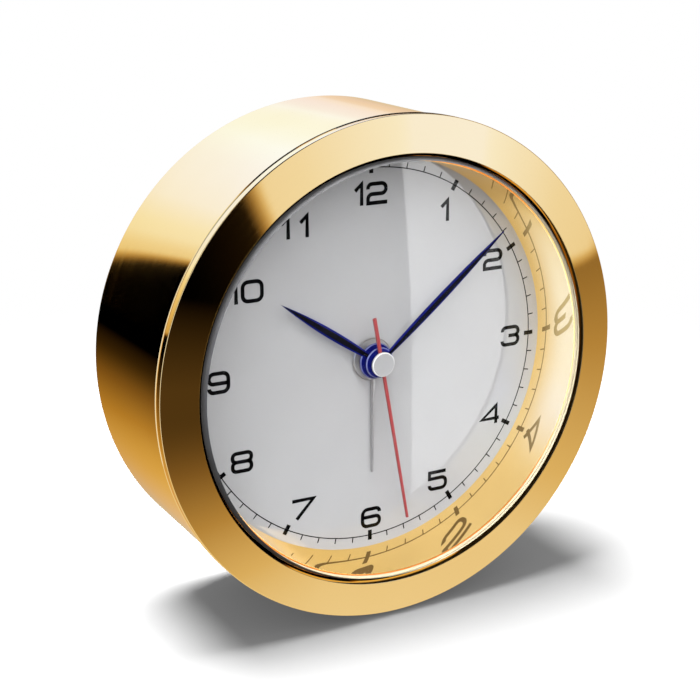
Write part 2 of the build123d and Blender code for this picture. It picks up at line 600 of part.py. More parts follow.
def make_train_bridge():
    rim = [Pos(*spot) * Circle(POST_RADIUS + POST_MARGIN) for spot in POST_PLACES]
    outline = make_hull(Sketch(children=rim).edges())
    bridge = flat(outline, BRIDGE_FRONT_DEPTH, BRIDGE_REAR)
    for spot in (THIRD_PLACE, STEP_PLACE, ROTOR_PLACE):
        bridge -= rod(PIVOT_RADIUS + TUBE_CLEARANCE, BRIDGE_FRONT_DEPTH, BRIDGE_REAR, spot)
    bridge -= rod(SECONDS_ARBOR_RADIUS + TUBE_CLEARANCE, BRIDGE_FRONT_DEPTH, BRIDGE_REAR)
    for spot in (TIME_SET_PLACE, ALARM_SET_PLACE):
        bridge -= rod(SET_ARBOR_RADIUS + SET_ARBOR_CLEARANCE, BRIDGE_FRONT_DEPTH, BRIDGE_REAR, spot)
    for spot in POST_PLACES:
        bridge -= rod(BRIDGE_SCREW_SHANK_RADIUS + TUBE_CLEARANCE, BRIDGE_FRONT_DEPTH, BRIDGE_REAR, spot)
    return bridge


def make_bridge_screws():
    screws = []
    for spot in POST_PLACES:
        shank = rod(BRIDGE_SCREW_SHANK_RADIUS, BRIDGE_REAR - BRIDGE_SCREW_SHANK_LENGTH, BRIDGE_REAR, spot)
        screws.append(shank + rod(BRIDGE_SCREW_HEAD_RADIUS, BRIDGE_REAR, BRIDGE_REAR + BRIDGE_SCREW_HEAD_HEIGHT, spot))
    return Compound(children=screws)


# Stepping motor

def make_stator():
    stator = box(STATOR_LEFT, STATOR_RIGHT, STATOR_BOTTOM, STATOR_TOP, STATOR_FRONT, STATOR_REAR)
    for left in (STATOR_LEFT, STATOR_RIGHT - STATOR_EAR_WIDTH):
        stator += box(left, left + STATOR_EAR_WIDTH, STATOR_BOTTOM, STATOR_EAR_TOP, STATOR_FRONT, STATOR_REAR)
    return stator - rod(ROTOR_MAGNET_RADIUS + ROTOR_AIR_GAP, STATOR_FRONT, STATOR_REAR, ROTOR_PLACE)


def make_coil_core():
    half = CORE_HEIGHT / 2
    return box(STATOR_LEFT, STATOR_RIGHT, CORE_Z - half, CORE_Z + half, STATOR_FRONT - CORE_THICKNESS, STATOR_FRONT)


def coil_tube(radius, bore_outline, left, right):
    """Round tube along the coil core, with a hole of a given outline."""
    depth = STATOR_FRONT - CORE_THICKNESS / 2
    origin = (left, depth - FRONT_TO_ORIGIN, AXIS_HEIGHT + CORE_Z)
    plane = Plane(origin=origin, x_dir=(0, 1, 0), z_dir=(1, 0, 0))
    return extrude(plane * (Circle(radius) - bore_outline), right - left)


COIL_LEFT = STATOR_LEFT + STATOR_EAR_WIDTH + COIL_SIDE_GAP
COIL_RIGHT = STATOR_RIGHT - STATOR_EAR_WIDTH - COIL_SIDE_GAP


def make_coil_bobbin():
    bore = Rectangle(CORE_THICKNESS + TUBE_CLEARANCE, CORE_HEIGHT + TUBE_CLEARANCE)
    bobbin = coil_tube(BOBBIN_TUBE_RADIUS, bore, COIL_LEFT, COIL_RIGHT)
    for left in (COIL_LEFT, COIL_RIGHT - BOBBIN_FLANGE):
        bobbin += coil_tube(WINDING_RADIUS, bore, left, left + BOBBIN_FLANGE)
    return bobbin


def make_coil_winding():
    bore = Circle(BOBBIN_TUBE_RADIUS)
    return coil_tube(WINDING_RADIUS - TUBE_CLEARANCE, bore, COIL_LEFT + BOBBIN_FLANGE, COIL_RIGHT - BOBBIN_FLANGE)


def make_rotor_arbor():
    arbor = rod(PIVOT_RADIUS, PIVOT_FRONT, PIVOT_REAR, ROTOR_PLACE)
    return arbor + pinion(ROTOR_LEAVES, ROTOR_MODULE, ROTOR_PHASE, STEP_LEVEL, STATOR_FRONT, ROTOR_PLACE)


def make_rotor_magnet():
    outline = Circle(ROTOR_MAGNET_RADIUS) - Circle(PIVOT_RADIUS)
    return flat(outline, STATOR_FRONT, STATOR_REAR, ROTOR_PLACE)


# Train wheels

def make_intermediate_wheel():
    step_rear = STEP_LEVEL + WHEEL_THICKNESS
    piece = rod(PIVOT_RADIUS, PIVOT_FRONT, PIVOT_REAR, STEP_PLACE)
    piece += pinion(STEP_LEAVES, STEP_MODULE, STEP_PINION_PHASE, SECONDS_LEVEL, STEP_LEVEL, STEP_PLACE)
    return piece + wheel(STEP_TEETH, ROTOR_MODULE, 0.0, STEP_LEVEL, step_rear, STEP_PLACE)


def make_seconds_wheel():
    arbor = rod(SECONDS_ARBOR_RADIUS, SECOND_HAND_FRONT + SECOND_HAND_THICKNESS, PIVOT_REAR)
    arbor += pinion(SECONDS_LEAVES, THIRD_MODULE, 0.0, THIRD_LEVEL, SECONDS_LEVEL)
    return arbor + wheel(SECONDS_TEETH, STEP_MODULE, 0.0, SECONDS_LEVEL, SECONDS_LEVEL + WHEEL_THICKNESS)


def make_third_wheel():
    piece = rod(PIVOT_RADIUS, PIVOT_FRONT, PIVOT_REAR, THIRD_PLACE)
    piece += pinion(THIRD_LEAVES, MINUTE_MODULE, 0.0, MINUTE_LEVEL, THIRD_LEVEL, THIRD_PLACE)
    return piece + wheel(THIRD_TEETH, THIRD_MODULE, THIRD_PHASE, THIRD_LEVEL, THIRD_LEVEL + WHEEL_THICKNESS,
                         THIRD_PLACE)


def make_minute_wheel():
    piece = wheel(MINUTE_TEETH, MINUTE_MODULE, MINUTE_PHASE, MINUTE_LEVEL, MINUTE_LEVEL + WHEEL_THICKNESS)
    piece += pinion(CANNON_LEAVES, MOTION_MODULE, 0.0, MOTION_LEVEL, MINUTE_LEVEL)
    piece += rod(MINUTE_TUBE_RADIUS, MINUTE_HAND_FRONT - HAND_GAP, MINUTE_LEVEL)
    return piece - rod(MINUTE_TUBE_BORE, MINUTE_HAND_FRONT - HAND_GAP, MINUTE_LEVEL + WHEEL_THICKNESS)


def make_motion_wheel():
    rear = MOTION_LEVEL + WHEEL_THICKNESS
    piece = wheel(MOTION_TEETH, MOTION_MODULE, MOTION_PHASE, MOTION_LEVEL, rear, MOTION_PLACE)
    piece += pinion(MOTION_LEAVES, HOUR_MODULE, 0.0, HOUR_LEVEL, MOTION_LEVEL, MOTION_PLACE)
    return piece - rod(SET_PIVOT_RADIUS + TUBE_CLEARANCE, HOUR_LEVEL, rear, MOTION_PLACE)


def make_hour_wheel():
    rear = HOUR_LEVEL + WHEEL_THICKNESS
    piece = wheel(HOUR_TEETH, HOUR_MODULE, HOUR_PHASE, HOUR_LEVEL, rear)
    piece += rod(HOUR_TUBE_RADIUS, HOUR_HAND_FRONT - HAND_GAP, HOUR_LEVEL)
    return piece - rod(HOUR_TUBE_BORE, HOUR_HAND_FRONT - HAND_GAP, rear)


def make_alarm_wheel():
    rear = ALARM_LEVEL + WHEEL_THICKNESS
    piece = wheel(ALARM_TEETH, ALARM_MODULE, 0.0, ALARM_LEVEL, rear)
    piece += rod(ALARM_TUBE_RADIUS, ALARM_HAND_FRONT - HAND_GAP, ALARM_LEVEL)
    return piece - rod(ALARM_TUBE_BORE, ALARM_HAND_FRONT - HAND_GAP, rear)


def set_arbor(spot, gear_piece, gear_front):
    """Arbor from its front pivot through the cover into its knob, with the gear that it turns."""
    arbor = rod(SET_PIVOT_RADIUS, PIVOT_FRONT, gear_front, spot)
    arbor += rod(SET_ARBOR_RADIUS, gear_front, KNOB_REAR - KNOB_DISH_DEPTH - KNOB_WEB, spot)
    return arbor + gear_piece


def make_time_set_arbor():
    gear_piece = pinion(TIME_SET_LEAVES, MOTION_MODULE, TIME_SET_PHASE, MOTION_LEVEL,
                        MOTION_LEVEL + WHEEL_THICKNESS, TIME_SET_PLACE)
    return set_arbor(TIME_SET_PLACE, gear_piece, MOTION_LEVEL)


def make_alarm_set_arbor():
    gear_piece = wheel(ALARM_TEETH, ALARM_MODULE, ALARM_SET_PHASE, ALARM_LEVEL,
                       ALARM_LEVEL + WHEEL_THICKNESS, ALARM_SET_PLACE)
    return set_arbor(ALARM_SET_PLACE, gear_piece, ALARM_LEVEL)


def make_knob(spot):
    """Fluted knob with a dished rear face and a blind bore for its arbor."""
    corners = []
    for index in range(2 * KNOB_FLUTES):
        radius = KNOB_RADIUS - KNOB_FLUTE_DEPTH * (index % 2)
        corners.append(place(radius, 180.0 * index / KNOB_FLUTES))
    knob = flat(Polygon(*corners, align=None), KNOB_FRONT, KNOB_REAR, spot)
    knob -= rod(KNOB_DISH_RADIUS, KNOB_REAR - KNOB_DISH_DEPTH, KNOB_REAR, spot)
    bore_rear = KNOB_REAR - KNOB_DISH_DEPTH - KNOB_WEB
    return knob - rod(SET_ARBOR_RADIUS + HAND_BORE_CLEARANCE, KNOB_FRONT, bore_rear, spot)


# Electrical pieces

def make_circuit_board():
    front = PLATE_REAR + BOARD_PEG_LENGTH
    rear = front + BOARD_THICKNESS
    board = box(BOARD_LEFT, BOARD_RIGHT, BOARD_MIDDLE - BOARD_HALF_HEIGHT, BOARD_MIDDLE + BOARD_HALF_HEIGHT,
                front, rear)
    return board + rod(CHIP_RADIUS, front, rear + CHIP_HEIGHT, CHIP_PLACE)


def make_quartz_can():
    depth = PLATE_REAR + BOARD_PEG_LENGTH + BOARD_THICKNESS + QUARTZ_RADIUS
    origin = (QUARTZ_PLACE[0], depth - FRONT_TO_ORIGIN, AXIS_HEIGHT + QUARTZ_PLACE[1])
    return extrude(Plane(origin=origin, z_dir=(0, 0, 1)) * Circle(QUARTZ_RADIUS), QUARTZ_LENGTH)


def make_buzzer():
    outline = Circle(BUZZER_RADIUS)
    port = rod(SOUND_HOLE_RADIUS, HOUSING_INNER_REAR - BUZZER_HEIGHT / 2, HOUSING_INNER_REAR, BUZZER_PLACE)
    return flat(outline, HOUSING_INNER_REAR - BUZZER_HEIGHT, HOUSING_INNER_REAR, BUZZER_PLACE) - port


def make_alarm_switch():
    spot = (SWITCH_PLACE[0] - SWITCH_TRAVEL / 2, SWITCH_PLACE[1])
    flange_rear = HOUSING_INNER_REAR - SWITCH_CLEARANCE
    tab_front = COVER_REAR + SWITCH_CLEARANCE
    tab_rear = tab_front + SWITCH_TAB_HEIGHT
    switch = flat(Rectangle(*SWITCH_FLANGE), flange_rear - SWITCH_FLANGE_THICKNESS, flange_rear, spot)
    switch += flat(Rectangle(*SWITCH_STEM), flange_rear, tab_front, spot)
    tab = flat(Rectangle(*SWITCH_TAB), tab_front, tab_rear, spot)
    return switch + chamfer(tab.faces().sort_by(Axis.Y)[-1].edges(), SWITCH_TAB_CHAMFER)


def make_battery_cell():
    origin = (CELL_LEFT, CELL_DEPTH - FRONT_TO_ORIGIN, AXIS_HEIGHT + CELL_Z)
    plane = Plane(origin=origin, x_dir=(0, 1, 0), z_dir=(1, 0, 0))
    can = extrude(plane * Circle(CELL_RADIUS), CELL_LENGTH - CELL_BUTTON_LENGTH)
    return can + extrude(plane * Circle(CELL_BUTTON_RADIUS), CELL_LENGTH)


def contact_strip(left, right, front, rear):
    half = CONTACT_WIDTH / 2
    return box(left, right, CELL_Z - half, CELL_Z + half, front, rear)


def make_contact_positive():
    half = CONTACT_WIDTH / 2
    return contact_strip(CELL_RIGHT, BAY_HALF_WIDTH, CELL_DEPTH - half, CELL_DEPTH + half)


def make_contact_negative():
    """Leaf bent into a U, pressed between the bay's left wall and the cell."""
    half = CONTACT_WIDTH / 2
    front = CELL_DEPTH - half
    rear = CELL_DEPTH + half
    contact = contact_strip(-BAY_HALF_WIDTH, CONTACT_THICKNESS - BAY_HALF_WIDTH, front, rear)
    contact += contact_strip(CELL_LEFT - CONTACT_THICKNESS, CELL_LEFT, front, rear)
    return contact + contact_strip(-BAY_HALF_WIDTH, CELL_LEFT, front, front + CONTACT_THICKNESS)


# Hands

def at_angle(sketch, angle):
    """Hand outline that points to twelve, turned clockwise to an angle."""
    return Rot(0, 0, -angle) * sketch


def leaf_outline(width, root, reach, widest):
    """Leaf that grows from its root to its widest place and narrows to a point."""
    left = ThreePointArc((-root / 2, 0), (-width / 2, widest), (0, reach))
    right = ThreePointArc((0, reach), (width / 2, widest), (root / 2, 0))
    return make_face([left, right, Line((root / 2, 0), (-root / 2, 0))])


def leaf_hand(width, root, reach, widest, hub_radius, bore, front, angle):
    """Leaf hand with a flat ridge between two bevels, on a round hub."""
    rear = front + LEAF_HAND_THICKNESS
    base = front_plane(rear) * at_angle(leaf_outline(width, root, reach, widest), angle)
    crest_outline = leaf_outline(width * LEAF_HAND_RIDGE, root * LEAF_HAND_RIDGE, reach - width / 2, widest)
    crest = front_plane(front) * at_angle(crest_outline, angle)
    hand = loft([base.face(), crest.face()], ruled=True) + rod(hub_radius, front, rear)
    return hand - rod(bore + HAND_BORE_CLEARANCE, front, rear)


def make_hour_hand():
    return leaf_hand(HOUR_HAND_WIDTH, HOUR_HAND_ROOT, HOUR_HAND_REACH, HOUR_HAND_WIDEST, HOUR_HUB_RADIUS,
                     HOUR_TUBE_RADIUS, HOUR_HAND_FRONT, HOUR_ANGLE)


def make_minute_hand():
    return leaf_hand(MINUTE_HAND_WIDTH, MINUTE_HAND_ROOT, MINUTE_HAND_REACH, MINUTE_HAND_WIDEST,
                     MINUTE_HUB_RADIUS, MINUTE_TUBE_RADIUS, MINUTE_HAND_FRONT, MINUTE_ANGLE)


def strip_outline(start, start_width, end, end_width):
    """Straight strip that tapers from one reach to another."""
    return Polygon((-start_width / 2, start), (start_width / 2, start), (end_width / 2, end), (-end_width / 2, end),
                   align=None)


def make_second_hand():
    rear = SECOND_HAND_FRONT + SECOND_HAND_THICKNESS
    strip = strip_outline(-SECOND_HAND_TAIL, SECOND_HAND_WIDTH, SECOND_HAND_REACH, SECOND_HAND_TIP_WIDTH)
    hand = flat(at_angle(strip, SECOND_ANGLE), SECOND_HAND_FRONT, rear)
    hand += rod(SECOND_COLLET_RADIUS, SECOND_HAND_FRONT, rear + SECOND_COLLET_LENGTH)
    return hand - rod(SECONDS_ARBOR_RADIUS + HAND_BORE_CLEARANCE, rear, rear + SECOND_COLLET_LENGTH)


def make_hand_cap():
    front = SECOND_HAND_FRONT - CAP_HEIGHT
    cap = rod(CAP_RADIUS, front, SECOND_HAND_FRONT)
    return fillet(cap.edges().sort_by(Axis.Y)[0], CAP_EDGE_ROUND)


def make_alarm_hand():
    rear = ALARM_HAND_FRONT + ALARM_HAND_THICKNESS
    strip = strip_outline(0.0, ALARM_HAND_WIDTH, ALARM_HAND_REACH, ALARM_HAND_TIP_WIDTH)
    hand = flat(at_angle(strip, ALARM_ANGLE), ALARM_HAND_FRONT, rear) + rod(ALARM_HUB_RADIUS, ALARM_HAND_FRONT, rear)
    return hand - rod(ALARM_TUBE_RADIUS + HAND_BORE_CLEARANCE, ALARM_HAND_FRONT, rear)


PIECES = {
    "case_drum": make_case_drum,
    "bezel": make_bezel,
    "crystal": make_crystal,
    "crystal_gasket": make_crystal_gasket,
    "reflector_ring": make_reflector_ring,
    "dial_plate": make_dial_plate,
    "rubber_foot": make_rubber_foot,
    "movement_holder": make_movement_holder,
    "cover_screws": make_cover_screws,
    "rear_cover": make_rear_cover,
    "battery_door": make_battery_door,
    "movement_housing": make_movement_housing,
    "movement_front_plate": make_movement_front_plate,
    "train_bridge": make_train_bridge,
    "bridge_screws": make_bridge_screws,
    "stator": make_stator,
    "coil_core": make_coil_core,
    "coil_bobbin": make_coil_bobbin,
    "coil_winding": make_coil_winding,
    "rotor_arbor": make_rotor_arbor,
    "rotor_magnet": make_rotor_magnet,
    "intermediate_wheel": make_intermediate_wheel,
    "seconds_wheel": make_seconds_wheel,
    "third_wheel": make_third_wheel,
    "minute_wheel": make_minute_wheel,
    "motion_wheel": make_motion_wheel,
    "hour_wheel": make_hour_wheel,
    "alarm_wheel": make_alarm_wheel,
    "time_set_arbor": make_time_set_arbor,
    "time_set_knob": lambda: make_knob(TIME_SET_PLACE),
    "alarm_set_arbor": make_alarm_set_arbor,
    "alarm_set_knob": lambda: make_knob(ALARM_SET_PLACE),
    "alarm_switch": make_alarm_switch,
    "circuit_board": make_circuit_board,
    "quartz_can": make_quartz_can,
    "buzzer": make_buzzer,
    "battery_cell": make_battery_cell,
    "contact_positive": make_contact_positive,
    "contact_negative": make_contact_negative,
    "hour_hand": make_hour_hand,
    "minute_hand": make_minute_hand,
    "second_hand": make_second_hand,
    "hand_cap": make_hand_cap,
    "alarm_hand": make_alarm_hand,
}

os.makedirs("parts", exist_ok=True)
for node, make in PIECES.items():
    export_step(make(), f"parts/{node}.step")
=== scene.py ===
from math import asin, ceil, cos, hypot, pi, radians, sin, sqrt, tan

import bmesh
import bpy
from mathutils import Matrix, Vector


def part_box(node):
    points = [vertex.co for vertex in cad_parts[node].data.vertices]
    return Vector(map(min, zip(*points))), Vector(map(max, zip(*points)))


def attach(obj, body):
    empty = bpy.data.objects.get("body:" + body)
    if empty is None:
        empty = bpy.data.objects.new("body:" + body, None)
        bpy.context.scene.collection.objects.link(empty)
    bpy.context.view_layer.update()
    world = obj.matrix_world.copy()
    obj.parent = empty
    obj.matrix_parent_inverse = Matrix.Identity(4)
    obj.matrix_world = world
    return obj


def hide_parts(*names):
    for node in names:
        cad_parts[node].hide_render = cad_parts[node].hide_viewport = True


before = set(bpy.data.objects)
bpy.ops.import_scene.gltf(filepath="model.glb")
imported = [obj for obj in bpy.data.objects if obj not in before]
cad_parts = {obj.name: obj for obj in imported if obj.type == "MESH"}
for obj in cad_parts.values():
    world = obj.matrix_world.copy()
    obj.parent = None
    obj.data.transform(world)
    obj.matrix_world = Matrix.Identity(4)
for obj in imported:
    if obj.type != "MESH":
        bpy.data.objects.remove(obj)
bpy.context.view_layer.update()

# Finish of a drum-cased table alarm clock: polished gold case, domed crystal, silver dial, blued hands.
# Metres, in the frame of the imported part: the dial faces -Y, +Z is up.
# A depth runs back along +Y; a place on the dial is (x, z) from the hands' axis.

MM = 0.001

# Places and sizes read from the frame
DIAL_LOW, DIAL_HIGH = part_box("dial_plate")
BEZEL_LOW, BEZEL_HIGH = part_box("bezel")
DRUM_LOW, DRUM_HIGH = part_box("case_drum")
CRYSTAL_LOW, CRYSTAL_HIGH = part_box("crystal")
REFLECTOR_LOW, REFLECTOR_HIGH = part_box("reflector_ring")
COVER_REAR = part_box("rear_cover")[1].y
SCREWS_LOW, SCREWS_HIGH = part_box("cover_screws")
CAP_LOW, CAP_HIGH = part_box("hand_cap")
AXIS_X = (DIAL_LOW.x + DIAL_HIGH.x) / 2
AXIS_Z = (DIAL_LOW.z + DIAL_HIGH.z) / 2
DIAL_FRONT = DIAL_LOW.y
DRUM_RADIUS = (DRUM_HIGH.x - DRUM_LOW.x) / 2
BEZEL_RADIUS = (BEZEL_HIGH.x - BEZEL_LOW.x) / 2
CRYSTAL_RADIUS = (CRYSTAL_HIGH.x - CRYSTAL_LOW.x) / 2
DIAL_RADIUS = (DIAL_HIGH.x - DIAL_LOW.x) / 2
CAP_RADIUS = (CAP_HIGH.x - CAP_LOW.x) / 2
SEAM_Y = DRUM_LOW.y

# Case
DRUM_WALL = 1.2 * MM
DRUM_EDGE_ROUND = 0.5 * MM
SEAM_CHAMFER = 0.15 * MM
BEZEL_RISE = 0.9 * MM
BEZEL_FACE_WIDTH = 6.1 * MM
BEZEL_EDGE_ROUND = 0.15 * MM
RIM_WAIST = 0.12 * MM
RIM_BEAD = 0.25 * MM
RIM_BEAD_ROUND = 0.02 * MM
BEZEL_FLOOR = 1.6 * MM
LIP_STEP = 0.45 * MM
LIP_DEPTH = 0.75 * MM
LIP_ROUND = 0.06 * MM
SPIGOT_FIT = 0.25 * MM
SPIGOT_WALL = 2.65 * MM
CRYSTAL_CLEARANCE = 0.1 * MM
CRYSTAL_DOME = 0.5 * MM
CRYSTAL_BEVEL_WIDTH = 0.58 * MM
CRYSTAL_BEVEL_HEIGHT = 1.05 * MM
CRYSTAL_RINGS = 32
GASKET_THICKNESS = 0.5 * MM
GASKET_WIDTH = 0.5 * MM
GASKET_FIT = 0.02 * MM
GASKET_ROUND = 0.08 * MM
GASKET_BORE_ROUND = 0.03 * MM
REFLECTOR_CLEARANCE = 0.15 * MM
REFLECTOR_WALL = 0.9 * MM
REFLECTOR_FLARE = 0.6 * MM
REFLECTOR_LIP_ROUND = 0.05 * MM
REFLECTOR_FLANGE = 0.8 * MM
REFLECTOR_BODY = CRYSTAL_RADIUS + CRYSTAL_CLEARANCE - GASKET_WIDTH - REFLECTOR_CLEARANCE

# Dial print
PRINT_THICKNESS = 0.02 * MM
TRACK_RADIUS = 32.34 * MM
TRACK_WIDTH = 0.18 * MM
TICK_LENGTH = 1.0 * MM
TICK_WIDTH = 0.20 * MM
BAR_LENGTH = 1.85 * MM
BAR_WIDTH = 0.76 * MM
MINUTES = 60
HOURS = 12
STROKE = 0.66 * MM
TRACK_STEPS = 6 * MINUTES
MITRE_LEAST = 0.5

# Half a digit's width and height, and how far a straight stroke runs on at its end, in millimetres
DIGIT_X = 1.69
DIGIT_Z = 1.58
BUTT = 0.25

# Hands
HUB_STEP = 0.08 * MM
HUB_CHAMFER = 0.16 * MM
RIDGE_SHARE = 0.60
POINT_RIDGE_SHARE = 0.05
BLADE_BEVEL = 0.06 * MM
BLADE_STATIONS = 40
STATION_CROWDING = 1.15
STRIP_THICKNESS = 0.35 * MM
CAP_ROUND = 0.16 * MM

# Fineness of turned pieces and of rounded corners, and distances that count as none
LATHE_STEPS = 288
SMALL_LATHE_STEPS = 120
ARC_STEPS = 6
SHARP_ANGLE = radians(32)
SUPPORT = 0.02
MERGE_DISTANCE = 1e-8
ON_AXIS = 1e-9


# Points and meshes

def round_corners(corners, closed=False):
    """Points of a line through (x, y, radius) corners, each turned by an arc with supports beside it."""
    points = []
    count = len(corners)
    for index, (x, y, radius) in enumerate(corners):
        at = Vector((x, y))
        inner = closed or 0 < index < count - 1
        if radius <= 0 or not inner:
            points.append(at)
            continue
        before = (Vector(corners[index - 1][:2]) - at).normalized()
        after = (Vector(corners[(index + 1) % count][:2]) - at).normalized()
        turn = pi - before.angle(after)
        reach = radius * tan(turn / 2)
        middle = at + (before + after).normalized() * (radius / cos(turn / 2))
        start = at + before * reach - middle
        side = 1 if before.x * after.y - before.y * after.x < 0 else -1
        steps = max(2, ceil(ARC_STEPS * turn / (pi / 2)))
        points.append(at + before * reach * (1 + SUPPORT))
        for step in range(steps + 1):
            swing = side * turn * step / steps
            points.append(middle + Matrix.Rotation(swing, 2) @ start)
        points.append(at + after * reach * (1 + SUPPORT))
    return points


def piece_from(name, shape, smooth=True):
    """Object from a bmesh, with its faces turned outwards."""
    bmesh.ops.remove_doubles(shape, verts=shape.verts, dist=MERGE_DISTANCE)
    bmesh.ops.recalc_face_normals(shape, faces=shape.faces)
    mesh = bpy.data.meshes.new(name)
    shape.to_mesh(mesh)
    shape.free()
    if smooth:
        mesh.shade_smooth()
        mesh.set_sharp_from_angle(angle=SHARP_ANGLE)
    piece = bpy.data.objects.new(name, mesh)
    bpy.context.scene.collection.objects.link(piece)
    return piece


def turned_shape(profile, steps=LATHE_STEPS, centre=None, closed=True):
    """Bmesh turned about an axis along Y from (radius, y) points; a point on the axis becomes a pole."""
    centre_x, centre_z = centre or (AXIS_X, AXIS_Z)
    shape = bmesh.new()
    rings = []
    for radius, y in profile:
        if radius < ON_AXIS:
            rings.append([shape.verts.new((centre_x, y, centre_z))])
            continue
        ring = []
        for step in range(steps):
            angle = 2 * pi * step / steps
            ring.append(shape.verts.new((centre_x + radius * sin(angle), y, centre_z + radius * cos(angle))))
        rings.append(ring)
    pairs = list(zip(rings, rings[1:]))
    if closed and len(rings[0]) > 1 and len(rings[-1]) > 1:
        pairs.append((rings[-1], rings[0]))
    for near, far in pairs:
        for step in range(steps):
            after = (step + 1) % steps
            corners = [near[step % len(near)], far[step % len(far)],
                       far[after % len(far)], near[after % len(near)]]
            corners = list(dict.fromkeys(corners))
            if len(corners) > 2:
                shape.faces.new(corners)
    return shape


def turned(name, profile, steps=LATHE_STEPS, centre=None):
    return piece_from(name, turned_shape(profile, steps, centre))


def skin(shape, sections, closed=False, painted=None):
    """Add to a bmesh the sides and ends of a bar through its sections; some sides have another material."""
    pairs = list(zip(sections, sections[1:]))
    if closed:
        pairs.append((sections[-1], sections[0]))
    else:
        shape.faces.new(sections[0])
        shape.faces.new(sections[-1])
    count = len(sections[0])
    for near, far in pairs:
        for side in range(count):
            after = (side + 1) % count
            face = shape.faces.new([near[side], near[after], far[after], far[side]])
            face.material_index = (painted or {}).get(side, 0)


def dress(piece, body, material, replaces=()):
    """Give a finished piece its material, its body and the solids that it stands for."""
    if material and not piece.data.materials:
        piece.data.materials.append(material)
    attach(piece, body)
    if replaces:
        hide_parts(*replaces)
    return piece


# Node trees

def add_node(tree, kind, inputs=None, **settings):
    """Node with its settings, and inputs given as values or as sockets to link."""
    node = tree.nodes.new(kind)
    for name, value in settings.items():
        setattr(node, name, value)
    for name, value in (inputs or {}).items():
        socket = node.inputs[name]
        if isinstance(value, bpy.types.NodeSocket):
            tree.links.new(value, socket)
        else:
            socket.default_value = value
    return node


def calculate(tree, operation, first, second=0.0, third=0.0):
    """Output of a math node."""
    node = add_node(tree, "ShaderNodeMath", {0: first, 1: second, 2: third}, operation=operation)
    return node.outputs[0]


def remap(tree, value, start, end, low=0.0, high=1.0, smooth=True):
    """Output of a map range node."""
    kind = "SMOOTHSTEP" if smooth else "LINEAR"
    inputs = {"Value": value, "From Min": start, "From Max": end, "To Min": low, "To Max": high}
    return add_node(tree, "ShaderNodeMapRange", inputs, interpolation_type=kind).outputs["Result"]


def times(tree, first, *others):
    """Output of a product."""
    for other in others:
        first = calculate(tree, "MULTIPLY", first, other)
    return first


def blended(tree, share, first, second):
    """Output of a colour mix; its ends are sockets or colours."""
    inputs = {0: share, 6: first, 7: second}
    return add_node(tree, "ShaderNodeMix", inputs, data_type="RGBA").outputs[2]


def object_place(tree):
    return add_node(tree, "ShaderNodeTexCoord").outputs["Object"]


def parts_of(tree, vector):
    return add_node(tree, "ShaderNodeSeparateXYZ", {0: vector}).outputs


def new_group(name, kind, inputs, outputs):
    """Node group with its sockets, as rows of a kind of socket and the names of that kind."""
    tree = bpy.data.node_groups.new(name, kind)
    for direction, rows in (("INPUT", inputs), ("OUTPUT", outputs)):
        for socket, *labels in rows:
            for label in labels:
                tree.interface.new_socket(label, in_out=direction, socket_type="NodeSocket" + socket)
    start = tree.nodes.new("NodeGroupInput")
    end = tree.nodes.new("NodeGroupOutput")
    return tree, start.outputs, end.inputs


# Effects that several finishes share

NOISE_BAND = (0.3, 0.7)
TONE_BAND = (0.35, 0.65)
GRAIN_DETAIL = 4.0
TURNING_DETAIL = 3.0
TONE_DETAIL = 3.0


def turned_place(tree):
    """Radius and depth of a place, for lines that a lathe and a buffing wheel leave round the axis."""
    parts = parts_of(tree, object_place(tree))
    across = calculate(tree, "SUBTRACT", parts["X"], AXIS_X)
    upward = calculate(tree, "SUBTRACT", parts["Z"], AXIS_Z)
    squares = calculate(tree, "MULTIPLY_ADD", across, across, times(tree, upward, upward))
    radius = calculate(tree, "SQRT", squares)
    return add_node(tree, "ShaderNodeCombineXYZ", {"X": radius, "Y": parts["Y"]}).outputs[0]


def noise_at(tree, place, scale, detail):
    inputs = {"Vector": place, "Scale": scale, "Detail": detail}
    return add_node(tree, "ShaderNodeTexNoise", inputs).outputs["Fac"]


def make_marks_group(name, place_in, detail):
    """Fine marks: a tone between two values and a height for a bump."""
    tree, given, result = new_group(
        name, "ShaderNodeTree", [("Float", "Scale", "Low", "High")], [("Float", "Value", "Height")])
    noise = noise_at(tree, place_in(tree), given["Scale"], detail)
    tree.links.new(remap(tree, noise, *NOISE_BAND, given["Low"], given["High"]), result["Value"])
    tree.links.new(noise, result["Height"])
    return tree


def make_tone_group():
    """Slow change between two near colours."""
    tree, given, result = new_group(
        "slow_tone", "ShaderNodeTree", [("Float", "Scale"), ("Color", "Light", "Dark")], [("Color", "Color")])
    share = remap(tree, noise_at(tree, object_place(tree), given["Scale"], TONE_DETAIL), *TONE_BAND)
    tree.links.new(blended(tree, share, given["Dark"], given["Light"]), result["Color"])
    return tree


GRAIN = make_marks_group("fine_grain", object_place, GRAIN_DETAIL)
TURNING = make_marks_group("turning_marks", turned_place, TURNING_DETAIL)
TONE = make_tone_group()


def use_group(tree, group, **inputs):
    node = add_node(tree, "ShaderNodeGroup", node_tree=group)
    for name, value in inputs.items():
        node.inputs[name].default_value = value
    return node.outputs


# Finishes

def colour(red, green, blue):
    return (red, green, blue, 1.0)


def new_material(name):
    """Material, its tree and the inputs of its main shader."""
    material = bpy.data.materials.new(name)
    material.use_nodes = True
    tree = material.node_tree
    return material, tree, tree.nodes["Principled BSDF"].inputs


def mix_in(tree, share, other):
    """Show another shader in place of a material's main one, by a share."""
    main = tree.nodes["Principled BSDF"].outputs[0]
    blend = add_node(tree, "ShaderNodeMixShader", {0: share, 1: main, 2: other.outputs[0]})
    tree.links.new(blend.outputs[0], tree.nodes["Material Output"].inputs["Surface"])


